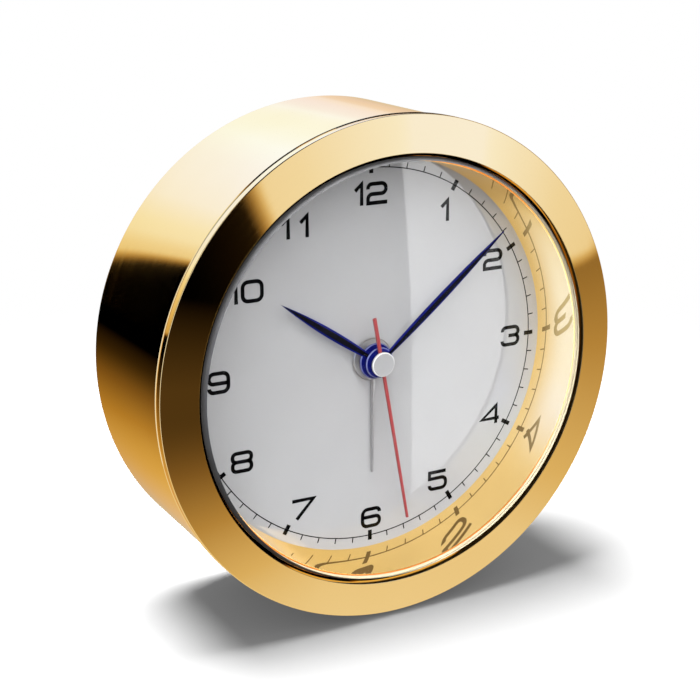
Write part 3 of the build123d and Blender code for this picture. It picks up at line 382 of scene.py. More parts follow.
def surface(name, light, dark, tone_scale, marks, bump=0.0, group=GRAIN, **shader):
    """Material with a slow change of tone, and marks as (scale, low, high) in its roughness and its bump."""
    material, tree, inputs = new_material(name)
    for socket, value in shader.items():
        inputs[socket.replace("_", " ")].default_value = value
    tone = use_group(tree, TONE, Scale=tone_scale, Light=colour(*light), Dark=colour(*dark))
    tree.links.new(tone["Color"], inputs["Base Color"])
    scale, low, high = marks
    fine = use_group(tree, group, Scale=scale, Low=low, High=high)
    tree.links.new(fine["Value"], inputs["Roughness"])
    if bump:
        relief = {"Strength": 1.0, "Distance": bump, "Height": fine["Height"]}
        tree.links.new(add_node(tree, "ShaderNodeBump", relief).outputs["Normal"], inputs["Normal"])
    return material


WHITE = colour(1, 1, 1)
BOUNCE_GREY = colour(0.30, 0.30, 0.30)
PLASTIC_SHINE = colour(1.0, 0.70, 0.40)
GLASS_IOR = 1.5
GLASS_TONE_SCALE = 45.0

# Painted light on the mirror wall, standing in for reflected light: its paler colour, its painted glow in the
# depth and at the mouth, and where these change over; right and upper are shares of the dial's radius from
# the hands' axis
WALL_PAINTED_PALE = colour(0.60, 0.62, 0.60)
WALL_PAINTED_GLOW = colour(0.22, 0.13, 0.045)
WALL_MOUTH_PAINTED_GLOW = colour(0.64, 0.48, 0.21)
WALL_MOUTH_DEPTH = 2 * MM
WALL_RIGHT = (0.5, 0.85)
WALL_UPPER = (-0.65, -0.2)


def plain_bounce(material):
    """Let a metal throw plain grey light on its surroundings, where its own colour would stain them."""
    tree = material.node_tree
    path = add_node(tree, "ShaderNodeLightPath").outputs
    mix_in(tree, path["Is Diffuse Ray"], add_node(tree, "ShaderNodeBsdfDiffuse", {"Color": BOUNCE_GREY}))


def paint_light_to_mouth(material):
    """Paint light on the mirror wall: a paler colour and a painted glow that grow toward its mouth on the
    right.
    """
    tree = material.node_tree
    parts = parts_of(tree, object_place(tree))
    toward_mouth = remap(tree, parts["Y"], REFLECTOR_HIGH.y, REFLECTOR_LOW.y + WALL_MOUTH_DEPTH)
    to_right = remap(tree, parts["X"], *(AXIS_X + share * DIAL_RADIUS for share in WALL_RIGHT))
    upper = remap(tree, parts["Z"], *(AXIS_Z + share * DIAL_RADIUS for share in WALL_UPPER))
    share = times(tree, toward_mouth, to_right, upper)
    inputs = tree.nodes["Principled BSDF"].inputs
    tone = inputs["Base Color"].links[0].from_socket
    inputs["Emission Strength"].default_value = 1.0
    tree.links.new(blended(tree, share, tone, WALL_PAINTED_PALE), inputs["Base Color"])
    tree.links.new(blended(tree, share, WALL_PAINTED_GLOW, WALL_MOUTH_PAINTED_GLOW), inputs["Emission Color"])


def clear_crystal():
    """Mineral glass: it refracts what is seen through it, and lets the light of lamps and room pass."""
    material, tree, inputs = new_material("crystal_glass")
    inputs["Roughness"].default_value = 0.0
    inputs["Transmission Weight"].default_value = 1.0
    inputs["IOR"].default_value = GLASS_IOR
    tone = use_group(tree, TONE, Scale=GLASS_TONE_SCALE, Light=colour(0.995, 0.995, 0.995),
                     Dark=colour(0.985, 0.99, 0.99))
    tree.links.new(tone["Color"], inputs["Base Color"])
    path = add_node(tree, "ShaderNodeLightPath").outputs
    passing = calculate(tree, "MAXIMUM", path["Is Shadow Ray"], path["Is Diffuse Ray"])
    mix_in(tree, passing, add_node(tree, "ShaderNodeBsdfTransparent"))
    return material


GOLD = surface("polished_gold", (0.84, 0.55, 0.19), (0.82, 0.53, 0.175), 25.0, (2600.0, 0.035, 0.055),
               group=TURNING, Metallic=1.0, Specular_Tint=colour(0.92, 0.68, 0.35))
WALL_GOLD = surface("wall_gold", (0.99, 0.70, 0.26), (0.98, 0.68, 0.24), 25.0, (2600.0, 0.004, 0.012),
                    group=TURNING, Metallic=1.0, Specular_Tint=colour(0.97, 0.80, 0.50))
plain_bounce(GOLD)
plain_bounce(WALL_GOLD)
# Painted light: the mirror wall pales and glows toward its mouth on the right.
paint_light_to_mouth(WALL_GOLD)
GLASS = clear_crystal()
# Opaque grey for the crystal's bevel: a painted reflection, standing in for the grey image that the clear
# glass bevel shows.
BEVEL_PAINTED_REFLECTION = surface("bevel_painted_reflection", (0.07, 0.07, 0.072), (0.06, 0.06, 0.062), 400.0, (4000.0, 0.4, 0.55),
                      Specular_IOR_Level=0.2)
DIAL_SILVER = surface("dial_silver", (0.57, 0.57, 0.58), (0.555, 0.555, 0.565), 90.0, (5200.0, 0.34, 0.44),
                      Metallic=0.1, Specular_IOR_Level=0.3, Coat_Weight=1.0, Coat_Roughness=0.0)
PRINT_BLACK = surface("dial_print", (0.003, 0.003, 0.004), (0.002, 0.002, 0.002), 700.0, (6000.0, 0.45, 0.6),
                      Specular_IOR_Level=0.03, Coat_Weight=0.3, Coat_Roughness=0.0)
BLUED_STEEL = surface("blued_steel", (0.007, 0.011, 0.18), (0.006, 0.009, 0.16), 500.0, (5000.0, 0.25, 0.35),
                      Metallic=0.15, Specular_IOR_Level=0.1)
RIDGE_BLACK = surface("hand_ridge", (0.003, 0.003, 0.006), (0.002, 0.002, 0.003), 500.0, (5000.0, 0.4, 0.5),
                      Specular_IOR_Level=0.08)
# Lighter blue for the hubs' chamfers: a painted highlight where their edges catch the light.
HUB_EDGE_PAINTED_HIGHLIGHT = surface("hub_edge_painted_highlight", (0.16, 0.18, 0.42), (0.14, 0.16, 0.38), 500.0, (5000.0, 0.25, 0.35))
# Near white for the cap's rounded rim: a painted highlight on its edge.
CAP_RIM_PAINTED_HIGHLIGHT = surface("cap_rim_painted_highlight", (0.93, 0.93, 0.93), (0.90, 0.90, 0.90), 400.0, (5200.0, 0.2, 0.3))
RED_LACQUER = surface("red_lacquer", (0.40, 0.042, 0.045), (0.37, 0.036, 0.040), 300.0, (4000.0, 0.3, 0.4),
                      Coat_Weight=0.2, Coat_Roughness=0.15)
CAP_SILVER = surface("silver_cap", (0.47, 0.47, 0.48), (0.45, 0.45, 0.46), 400.0, (5200.0, 0.32, 0.42),
                     bump=0.000001, Metallic=0.3)
ALARM_GREY = surface("grey_metal", (0.36, 0.355, 0.36), (0.32, 0.315, 0.32), 400.0, (5000.0, 0.3, 0.4),
                     Metallic=0.5)
COVER_PLASTIC = surface("cover_plastic", (0.020, 0.020, 0.021), (0.015, 0.015, 0.016), 80.0,
                        (2600.0, 0.42, 0.6), bump=0.00004, Specular_IOR_Level=0.2,
                        Specular_Tint=PLASTIC_SHINE)
KNOB_PLASTIC = surface("knob_plastic", (0.028, 0.028, 0.030), (0.022, 0.022, 0.024), 200.0,
                       (3500.0, 0.26, 0.38), bump=0.00001, Specular_IOR_Level=0.3,
                       Specular_Tint=PLASTIC_SHINE)
RUBBER = surface("black_rubber", (0.016, 0.016, 0.016), (0.011, 0.011, 0.011), 150.0, (1800.0, 0.7, 0.85),
                 bump=0.00005)
NYLON = surface("clear_nylon", (0.95, 0.82, 0.56), (0.91, 0.78, 0.52), 300.0, (2500.0, 0.3, 0.45),
                bump=0.00001)
MOVEMENT_PLASTIC = surface("movement_plastic", (0.10, 0.10, 0.11), (0.08, 0.08, 0.09), 90.0,
                           (2200.0, 0.4, 0.55), bump=0.00003)
WHEEL_PLASTIC = surface("wheel_plastic", (0.80, 0.78, 0.70), (0.74, 0.72, 0.64), 250.0, (3000.0, 0.3, 0.45),
                        bump=0.00001)
STEEL = surface("bright_steel", (0.62, 0.56, 0.46), (0.54, 0.49, 0.40), 500.0, (3500.0, 0.22, 0.34),
                bump=0.000004, Metallic=1.0)
BRASS = surface("setting_brass", (0.75, 0.56, 0.22), (0.66, 0.48, 0.18), 400.0, (3500.0, 0.22, 0.34),
                bump=0.000004, Metallic=1.0)
COPPER = surface("copper_wire", (0.62, 0.24, 0.09), (0.50, 0.18, 0.06), 1500.0, (5000.0, 0.25, 0.4),
                 bump=0.00005, Metallic=0.8)
MAGNET = surface("magnet_dark", (0.09, 0.085, 0.085), (0.06, 0.055, 0.055), 800.0, (4000.0, 0.35, 0.5),
                 bump=0.00001, Metallic=0.6)
BOARD = surface("board_green", (0.02, 0.16, 0.06), (0.012, 0.11, 0.04), 900.0, (2500.0, 0.3, 0.45),
                bump=0.00001)
BUZZER = surface("buzzer_black", (0.02, 0.02, 0.02), (0.014, 0.014, 0.014), 200.0, (2500.0, 0.4, 0.55),
                 bump=0.00002)
JACKET = surface("cell_jacket", (0.035, 0.05, 0.09), (0.028, 0.04, 0.075), 120.0, (1500.0, 0.2, 0.3),
                 Coat_Weight=0.5, Coat_Roughness=0.1)


# Case pieces

def make_drum_shell():
    bore = DRUM_RADIUS - DRUM_WALL
    rear = DRUM_HIGH.y
    corners = [(bore, SEAM_Y, 0), (DRUM_RADIUS - SEAM_CHAMFER, SEAM_Y, 0),
               (DRUM_RADIUS, SEAM_Y + SEAM_CHAMFER, 0), (DRUM_RADIUS, rear, DRUM_EDGE_ROUND),
               (bore, rear, SEAM_CHAMFER)]
    piece = turned("drum_shell", round_corners(corners, closed=True))
    dress(piece, "case", GOLD, ["case_drum"])


def make_bezel_ring():
    outer_y = BEZEL_LOW.y + BEZEL_RISE
    lip = BEZEL_RADIUS - BEZEL_FACE_WIDTH
    crystal_bore = lip - LIP_STEP
    step_y = BEZEL_LOW.y + LIP_DEPTH
    gasket_rear = CRYSTAL_HIGH.y + GASKET_THICKNESS
    floor_rear = gasket_rear + BEZEL_FLOOR
    spigot = DIAL_RADIUS + SPIGOT_FIT
    spigot_rear = BEZEL_HIGH.y
    spigot_bore = spigot - SPIGOT_WALL
    ledge_bore = crystal_bore - GASKET_WIDTH - REFLECTOR_CLEARANCE + CRYSTAL_CLEARANCE
    corners = [(crystal_bore, step_y, 0), (lip - LIP_STEP / 4, step_y, 0), (lip, BEZEL_LOW.y, LIP_ROUND),
               (BEZEL_RADIUS, outer_y, BEZEL_EDGE_ROUND),
               (BEZEL_RADIUS - RIM_WAIST, SEAM_Y - RIM_BEAD, RIM_BEAD_ROUND),
               (BEZEL_RADIUS, SEAM_Y - RIM_BEAD + RIM_WAIST, RIM_BEAD_ROUND),
               (BEZEL_RADIUS, SEAM_Y - SEAM_CHAMFER / 2, 0), (BEZEL_RADIUS - SEAM_CHAMFER, SEAM_Y, 0),
               (spigot, SEAM_Y, 0), (spigot, spigot_rear, 0), (spigot_bore, spigot_rear, 0),
               (spigot_bore, floor_rear, 0), (ledge_bore, floor_rear, 0), (ledge_bore, gasket_rear, 0),
               (crystal_bore, gasket_rear, 0)]
    piece = turned("bezel_ring", round_corners(corners, closed=True))
    dress(piece, "case", GOLD, ["bezel"])


def make_domed_crystal():
    edge_radius = CRYSTAL_RADIUS - CRYSTAL_BEVEL_WIDTH
    edge_y = CRYSTAL_LOW.y + CRYSTAL_DOME
    curve = (edge_radius ** 2 + CRYSTAL_DOME ** 2) / (2 * CRYSTAL_DOME)
    sweep = asin(edge_radius / curve)
    profile = []
    for step in range(CRYSTAL_RINGS + 1):
        angle = sweep * step / CRYSTAL_RINGS
        profile.append((curve * sin(angle), CRYSTAL_LOW.y + curve * (1 - cos(angle))))
    profile += [(CRYSTAL_RADIUS, edge_y + CRYSTAL_BEVEL_HEIGHT), (CRYSTAL_RADIUS, CRYSTAL_HIGH.y),
                (0.0, CRYSTAL_HIGH.y)]
    piece = turned("domed_crystal", profile)
    piece.data.materials.append(GLASS)
    piece.data.materials.append(BEVEL_PAINTED_REFLECTION)
    # The bevel's faces take the painted grey reflection in place of glass.
    for face in piece.data.polygons:
        beside = hypot(face.center.x - AXIS_X, face.center.z - AXIS_Z)
        if beside > edge_radius and edge_y < face.center.y < edge_y + CRYSTAL_BEVEL_HEIGHT:
            face.material_index = 1
    dress(piece, "case", None, ["crystal"])


def make_gasket_ring():
    low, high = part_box("crystal_gasket")
    outer = (high.x - low.x) / 2
    inner = REFLECTOR_BODY + GASKET_FIT
    corners = [(inner, low.y, 0), (outer, low.y, GASKET_ROUND), (outer, high.y, GASKET_ROUND),
               (inner, high.y, GASKET_BORE_ROUND)]
    piece = turned("gasket_ring", round_corners(corners, closed=True))
    dress(piece, "case", NYLON, ["crystal_gasket"])


def make_mirror_wall():
    outer = (REFLECTOR_HIGH.x - REFLECTOR_LOW.x) / 2
    inner = REFLECTOR_BODY - REFLECTOR_WALL
    flange_front = REFLECTOR_HIGH.y - REFLECTOR_FLANGE
    mouth = inner + REFLECTOR_FLARE
    corners = [(mouth, REFLECTOR_LOW.y, REFLECTOR_LIP_ROUND), (REFLECTOR_BODY, REFLECTOR_LOW.y, 0),
               (REFLECTOR_BODY, flange_front, 0), (outer, flange_front, 0), (outer, REFLECTOR_HIGH.y, 0),
               (inner, REFLECTOR_HIGH.y, 0)]
    piece = turned("mirror_wall", round_corners(corners, closed=True))
    dress(piece, "case", WALL_GOLD, ["reflector_ring"])


# Dial print

def stroke_into(shape, line, closed, width=STROKE):
    """Add to a bmesh a flat printed stroke along (x, z) points on the dial."""
    front = DIAL_FRONT - PRINT_THICKNESS
    count = len(line)
    sections = []
    for index, at in enumerate(line):
        before = line[index - 1] if closed or index > 0 else None
        after = line[(index + 1) % count] if closed or index < count - 1 else None
        ahead = (after - at).normalized() if after is not None else (at - before).normalized()
        behind = (at - before).normalized() if before is not None else ahead
        across = Vector((-(ahead + behind).y, (ahead + behind).x)).normalized()
        reach = width / 2 / max(MITRE_LEAST, across.dot(Vector((-ahead.y, ahead.x))))
        left, right = at + across * reach, at - across * reach
        corners = ((left, front), (right, front), (right, DIAL_FRONT), (left, DIAL_FRONT))
        sections.append([shape.verts.new((AXIS_X + edge.x, y, AXIS_Z + edge.y)) for edge, y in corners])
    skin(shape, sections, closed)


def digit_strokes():
    """Strokes of each digit as (closed, (x, z, radius) corners), in millimetres about its middle."""
    x, z, end = DIGIT_X, DIGIT_Z, BUTT
    hook = 0.75
    return {
        "0": [(True, [(-x, z, 0.95), (x, z, 0.95), (x, -z, 0.95), (-x, -z, 0.95)])],
        "1": [(False, [(-1.2, z - 0.95, 0), (0, z + 0.14, 0), (0, -z - end, 0)])],
        "2": [(False, [(-x, z - hook - 0.1, 0), (-x, z, 0.7), (x, z, 0.85), (x, -0.1, 0.8), (-x, -0.1, 0.8),
                       (-x, -z, 0), (x + end, -z, 0)])],
        "3": [(False, [(-x, z - hook, 0), (-x, z, 0.7), (x, z, 0.85), (x, 0.05, 0.7), (-0.35, 0.05, 0)]),
              (False, [(x - 0.8, 0.05, 0), (x, 0.05, 0.7), (x, -z, 0.85), (-x, -z, 0.7), (-x, hook - z, 0)])],
        "4": [(False, [(1.29, -z - end, 0), (1.29, z, 0), (-1.72, -0.82, 0), (x + end, -0.82, 0)])],
        "5": [(False, [(x, z, 0), (-x, z, 0), (-x, 0.40, 0), (x, 0.40, 0.85), (x, -z, 0.85), (-x, -z, 0.7),
                       (-x, hook - z, 0)])],
        "6": [(False, [(x, z - hook, 0), (x, z, 0.75), (-x, z, 0.95), (-x, -z, 0.95), (x, -z, 0.85),
                       (x, 0.12, 0.75), (-x, 0.12, 0)])],
        "7": [(False, [(-2.12, z, 0), (1.95, z, 0), (-1.3, -z - 0.22, 0)])],
        "8": [(True, [(-x, z, 0.7), (x, z, 0.7), (x, 0.05, 0.7), (-x, 0.05, 0.7)]),
              (True, [(-x, 0.05, 0.7), (x, 0.05, 0.7), (x, -z, 0.7), (-x, -z, 0.7)])],
        "9": [(False, [(-x, hook - z, 0), (-x, -z, 0.75), (x, -z, 0.95), (x, z, 0.95), (-x, z, 0.85),
                       (-x, -0.12, 0.75), (x, -0.12, 0)])],
    }


# Digits and the (x, z) places of their middles, in millimetres; a one is placed by its stem
NUMERALS = [
    ("1", -1.80, 28.05), ("2", 1.08, 28.05), ("1", 14.80, 23.87), ("2", 24.25, 14.30), ("3", 28.43, -0.07),
    ("4", 24.60, -14.22), ("5", 13.75, -24.70), ("6", 0.20, -29.07), ("7", -12.95, -24.75),
    ("8", -24.15, -14.25), ("9", -27.92, -0.05), ("1", -24.55, 14.32), ("0", -21.70, 14.32),
    ("1", -15.20, 23.87), ("1", -11.80, 23.87)]


def make_numerals():
    strokes = digit_strokes()
    shape = bmesh.new()
    for digit, place_x, place_z in NUMERALS:
        for closed, corners in strokes[digit]:
            line = [Vector((place_x + at.x, place_z + at.y)) * MM for at in round_corners(corners, closed)]
            stroke_into(shape, line, closed)
    dress(piece_from("dial_numerals", shape, smooth=False), "case", PRINT_BLACK)


def make_minute_track():
    angles = [2 * pi * step / TRACK_STEPS for step in range(TRACK_STEPS)]
    circle = [Vector((TRACK_RADIUS * sin(angle), TRACK_RADIUS * cos(angle))) for angle in angles]
    shape = bmesh.new()
    stroke_into(shape, circle, True, TRACK_WIDTH)
    dress(piece_from("minute_track", shape, smooth=False), "case", PRINT_BLACK)


# Geometry trees for what repeats

def ring_points(tree, count, radius, centre):
    """Points on a circle about an axis along Y, the turn of each about that axis, and its number."""
    points = add_node(tree, "GeometryNodePoints", {"Count": count}).outputs[0]
    index = add_node(tree, "GeometryNodeInputIndex").outputs[0]
    angle = calculate(tree, "DIVIDE", times(tree, index, 2 * pi), count)
    across = times(tree, calculate(tree, "SINE", angle), radius)
    upward = times(tree, calculate(tree, "COSINE", angle), radius)
    spot = add_node(tree, "ShaderNodeCombineXYZ", {"X": across, "Z": upward}).outputs[0]
    place = add_node(tree, "ShaderNodeVectorMath", {0: spot, 1: centre}, operation="ADD").outputs[0]
    placed = add_node(tree, "GeometryNodeSetPosition", {"Geometry": points, "Position": place})
    turn = add_node(tree, "ShaderNodeCombineXYZ", {"Y": angle})
    return placed.outputs[0], turn.outputs[0], index


def finish_tree(tree, geometry, material, output):
    """Realise the instances and give them the material."""
    real = add_node(tree, "GeometryNodeRealizeInstances", {"Geometry": geometry})
    coated = add_node(tree, "GeometryNodeSetMaterial", {"Geometry": real.outputs[0], "Material": material})
    tree.links.new(coated.outputs[0], output)


def make_marks_tree():
    """Printed marks that stand round the dial; in each group, those before the first kept are left out."""
    tree, given, result = new_group("ring_of_marks", "GeometryNodeTree", [
        ("Geometry", "Geometry"), ("Int", "Count", "Group Size", "First Kept"),
        ("Float", "Middle Radius", "Width", "Thickness", "Length"), ("Vector", "Centre"),
        ("Material", "Material")], [("Geometry", "Geometry")])
    points, turn, index = ring_points(tree, given["Count"], given["Middle Radius"], given["Centre"])
    place_in_group = calculate(tree, "MODULO", index, given["Group Size"])
    before_first = calculate(tree, "SUBTRACT", given["First Kept"], 0.5)
    kept = calculate(tree, "GREATER_THAN", place_in_group, before_first)
    size = add_node(tree, "ShaderNodeCombineXYZ", {
        "X": given["Width"], "Y": given["Thickness"], "Z": given["Length"]})
    mark = add_node(tree, "GeometryNodeMeshCube", {"Size": size.outputs[0]})
    copies = add_node(tree, "GeometryNodeInstanceOnPoints", {
        "Points": points, "Selection": kept, "Instance": mark.outputs[0], "Rotation": turn})
    finish_tree(tree, copies.outputs[0], given["Material"], result["Geometry"])
    return tree


def baked(piece):
    """Leave a piece with the plain mesh that its modifiers make."""
    bpy.context.view_layer.update()
    graph = bpy.context.evaluated_depsgraph_get()
    mesh = bpy.data.meshes.new_from_object(piece.evaluated_get(graph))
    piece.modifiers.clear()
    piece.data = mesh
    return piece


def grown(name, tree, inputs, base=None):
    """Plain mesh object from a geometry tree with its inputs, grown on a base mesh where there is one."""
    start = base or bpy.data.objects.new(name, bpy.data.meshes.new(name + "_base"))
    if base is None:
        bpy.context.scene.collection.objects.link(start)
    modifier = start.modifiers.new("grow", "NODES")
    modifier.node_group = tree
    for item in tree.interface.items_tree:
        if item.in_out == "INPUT" and item.name in inputs:
            modifier[item.identifier] = inputs[item.name]
    baked(start).name = name
    return start


def make_dial_marks():
    tree = make_marks_tree()
    ticks_middle = TRACK_RADIUS + TICK_LENGTH / 2
    for name, count, group_size, first_kept, middle, width, length in (
            ("minute_ticks", MINUTES, MINUTES // HOURS, 1, ticks_middle, TICK_WIDTH, TICK_LENGTH),
            ("hour_bars", HOURS, 1, 0, TRACK_RADIUS, BAR_WIDTH, BAR_LENGTH)):
        marks = grown(name, tree, {
            "Count": count, "Group Size": group_size, "First Kept": first_kept, "Middle Radius": middle,
            "Width": width, "Thickness": PRINT_THICKNESS, "Length": length, "Material": PRINT_BLACK,
            "Centre": (AXIS_X, DIAL_FRONT - PRINT_THICKNESS / 2, AXIS_Z)})
        dress(marks, "case", None)


# Hands, with angles clockwise from twelve and lengths in millimetres

# Leaves as (node, piece, angle, (width, width at the root, reach, widest place, hub radius))
LEAF_HANDS = [("hour_hand", "hour_leaf", 304.24, (1.55, 0.55, 21.3, 11.5, 3.1)),
              ("minute_hand", "minute_leaf", 50.8, (1.30, 0.45, 31.4, 17.5, 2.65))]
# Strips as (node, piece, angle, (tail, reach, width at the tail, width at the tip, hub radius), share of the
# width that is flat, material, slot)
STRIP_HANDS = [
    ("second_hand", "second_needle", 169.5, (8.2, 29.2, 0.62, 0.42, 0.95), 0.8, RED_LACQUER, "red_lacquer"),
    ("alarm_hand", "alarm_pointer", 180.0, (0.0, 20.3, 0.75, 0.35, 3.68), 0.06, ALARM_GREY, "grey_metal")]
# Side of a blade's section that is its flat front, and the materials of a leaf hand, the last a painted
# highlight for the hub's chamfer
BLADE_CREST = 2
LEAF_MATERIALS = [BLUED_STEEL, RIDGE_BLACK, HUB_EDGE_PAINTED_HIGHLIGHT]


def leaf_half_width(width, root, reach, widest):
    """Half the width of a leaf along it, on the arc through its root, its widest place and its point."""
    (x1, y1), (x2, y2), (x3, y3) = (root / 2, 0.0), (width / 2, widest), (0.0, reach)
    scale = 2 * (x1 * (y2 - y3) + x2 * (y3 - y1) + x3 * (y1 - y2))
    s1, s2, s3 = x1 ** 2 + y1 ** 2, x2 ** 2 + y2 ** 2, x3 ** 2 + y3 ** 2
    middle_x = (s1 * (y2 - y3) + s2 * (y3 - y1) + s3 * (y1 - y2)) / scale
    middle_y = (s1 * (x3 - x2) + s2 * (x1 - x3) + s3 * (x2 - x1)) / scale
    radius = hypot(x1 - middle_x, y1 - middle_y)
    return lambda along: max(0.0, middle_x + sqrt(radius ** 2 - (along - middle_y) ** 2))


def blade_into(shape, angle, stations, front, rear, crest_material):
    """Add to a bmesh a hand's blade from (along, half width, half crest) stations; it points at an angle."""
    turn = radians(angle)
    outward = Vector((sin(turn), 0, cos(turn)))
    across = Vector((cos(turn), 0, -sin(turn)))
    hub = Vector((AXIS_X, 0, AXIS_Z))
    sections = []
    for along, half, crest in stations:
        shoulder = front + BLADE_BEVEL
        corners = [(-half, rear), (-half, shoulder), (-crest, front),
                   (crest, front), (half, shoulder), (half, rear)]
        sections.append([shape.verts.new(hub + outward * along + across * side + Vector((0, y, 0)))
                         for side, y in corners])
    skin(shape, sections, painted={BLADE_CREST: crest_material})


def hub_into(shape, radius, front, rear, edge_material=0):
    """Add to a bmesh a hub disc with a fine chamfered edge."""
    corners = [(0.0, front), (radius - HUB_CHAMFER, front), (radius, front + HUB_CHAMFER),
               (radius, rear), (0.0, rear)]
    disc = turned_shape(corners, SMALL_LATHE_STEPS)
    for face in disc.faces:
        if front < face.calc_center_median().y < front + HUB_CHAMFER:
            face.material_index = edge_material
    disc_mesh = bpy.data.meshes.new("hub_disc")
    disc.to_mesh(disc_mesh)
    disc.free()
    shape.from_mesh(disc_mesh)
    bpy.data.meshes.remove(disc_mesh)


def make_leaf_hand(node, name, angle, width, root, reach, widest, hub_radius):
    """Leaf-shaped hand with a dark flat ridge on a round hub."""
    low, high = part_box(node)
    half_width = leaf_half_width(width, root, reach, widest)
    stations = []
    for step in range(BLADE_STATIONS + 1):
        along = reach * (1 - (1 - step / BLADE_STATIONS) ** STATION_CROWDING)
        half = half_width(along)
        ridge = RIDGE_SHARE if along < reach - width / 2 else POINT_RIDGE_SHARE
        stations.append((along, half, half * ridge))
    shape = bmesh.new()
    blade_into(shape, angle, stations, low.y, high.y, LEAF_MATERIALS.index(RIDGE_BLACK))
    # The hub's chamfer takes the painted highlight.
    hub_into(shape, hub_radius, low.y + HUB_STEP, high.y, LEAF_MATERIALS.index(HUB_EDGE_PAINTED_HIGHLIGHT))
    piece = piece_from(name, shape)
    for material in LEAF_MATERIALS:
        piece.data.materials.append(material)
    piece.visible_glossy = False
    dress(piece, node, None, [node])


def make_strip_hand(node, name, angle, sizes, crest_share, material, slot):
    """Straight tapered hand with bevelled edges on a round hub."""
    tail, reach, tail_width, tip_width, hub_radius = (size * MM for size in sizes)
    low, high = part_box(node)
    stations = []
    for step in range(BLADE_STATIONS + 1):
        share = step / BLADE_STATIONS
        half = (tail_width + (tip_width - tail_width) * share) / 2
        stations.append((-tail + (reach + tail) * share, half, half * crest_share))
    shape = bmesh.new()
    blade_into(shape, angle, stations, low.y, min(high.y, low.y + STRIP_THICKNESS), 0)
    hub_into(shape, hub_radius, low.y + HUB_STEP, high.y)
    dress(piece_from(name, shape), node, material, [node])


def make_cap_button():
    corners = [(0.0, CAP_LOW.y, 0), (CAP_RADIUS, CAP_LOW.y, CAP_ROUND), (CAP_RADIUS, CAP_HIGH.y, 0),
               (0.0, CAP_HIGH.y, 0)]
    cap = turned("cap_button", round_corners(corners), SMALL_LATHE_STEPS)
    cap.data.materials.append(CAP_SILVER)
    cap.data.materials.append(CAP_RIM_PAINTED_HIGHLIGHT)
    # The rounded front edge takes the painted highlight.
    for face in cap.data.polygons:
        if CAP_LOW.y < face.center.y < CAP_LOW.y + CAP_ROUND:
            face.material_index = 1
    dress(cap, "second_hand", None, ["hand_cap"])


def make_hands():
    for node, name, angle, sizes in LEAF_HANDS:
        make_leaf_hand(node, name, angle, *(size * MM for size in sizes))
    for row in STRIP_HANDS:
        make_strip_hand(*row)
    make_cap_button()


# Moulded pieces of the back, and the foot, as (node, piece, rounding of the edges, body, material, slot)
MOULDED = [("rear_cover", "back_plate", 0.2 * MM, "case", COVER_PLASTIC, "black_plastic"),
           ("battery_door", "battery_hatch", 0.2 * MM, "battery_door", COVER_PLASTIC, "black_plastic"),
           ("alarm_switch", "alarm_slider", 0.15 * MM, "alarm_switch", KNOB_PLASTIC, "knob_plastic"),
           ("rubber_foot", "foot_pad", 0.25 * MM, "case", RUBBER, "black_rubber")]
FLAT_AREA = 12 * MM ** 2
FLAT_TURN = radians(1)
EDGE_TURN = radians(40)
ROUND_SEGMENTS = 3
SOLID_MERGE_DISTANCE = 1e-7


def softened(node, name, width, body, material, slot):
    """Copy of a solid with its sharp edges rounded, as a moulded or pressed piece has them."""
    shape = bmesh.new()
    shape.from_mesh(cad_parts[node].data)
    bmesh.ops.remove_doubles(shape, verts=shape.verts, dist=SOLID_MERGE_DISTANCE)
    bmesh.ops.dissolve_limit(shape, angle_limit=FLAT_TURN, verts=shape.verts, edges=shape.edges)
    edges = [edge for edge in shape.edges if edge.is_manifold and edge.calc_face_angle(0.0) > EDGE_TURN]
    bmesh.ops.bevel(shape, geom=edges, offset=width, segments=ROUND_SEGMENTS, profile=0.5, affect="EDGES",
                    clamp_overlap=True)
    piece = piece_from(name, shape)
    for face in piece.data.polygons:
        face.use_smooth = face.area < FLAT_AREA
    dress(piece, body, material, [node])


# Knobs that set the time and the alarm, as (body, node)
KNOBS = [("time_set", "time_set_knob"), ("alarm_set", "alarm_set_knob")]
KNOB_FLUTES = 20
STEPS_PER_FLUTE = 12
FLUTE_DEPTH = 0.35 * MM
FLUTE_START = 0.5 * MM
KNOB_BORE = 1.01 * MM
KNOB_FLOOR = 1.2 * MM
DISH_RADIUS = 3.0 * MM
DISH_DEPTH = 0.4 * MM
DISH_SLOPE = 0.3 * MM
KNOB_FRONT_ROUND = 0.25 * MM
KNOB_REAR_ROUND = 0.5 * MM
DISH_RIM_ROUND = 0.15 * MM
DISH_FOOT_ROUND = 0.2 * MM


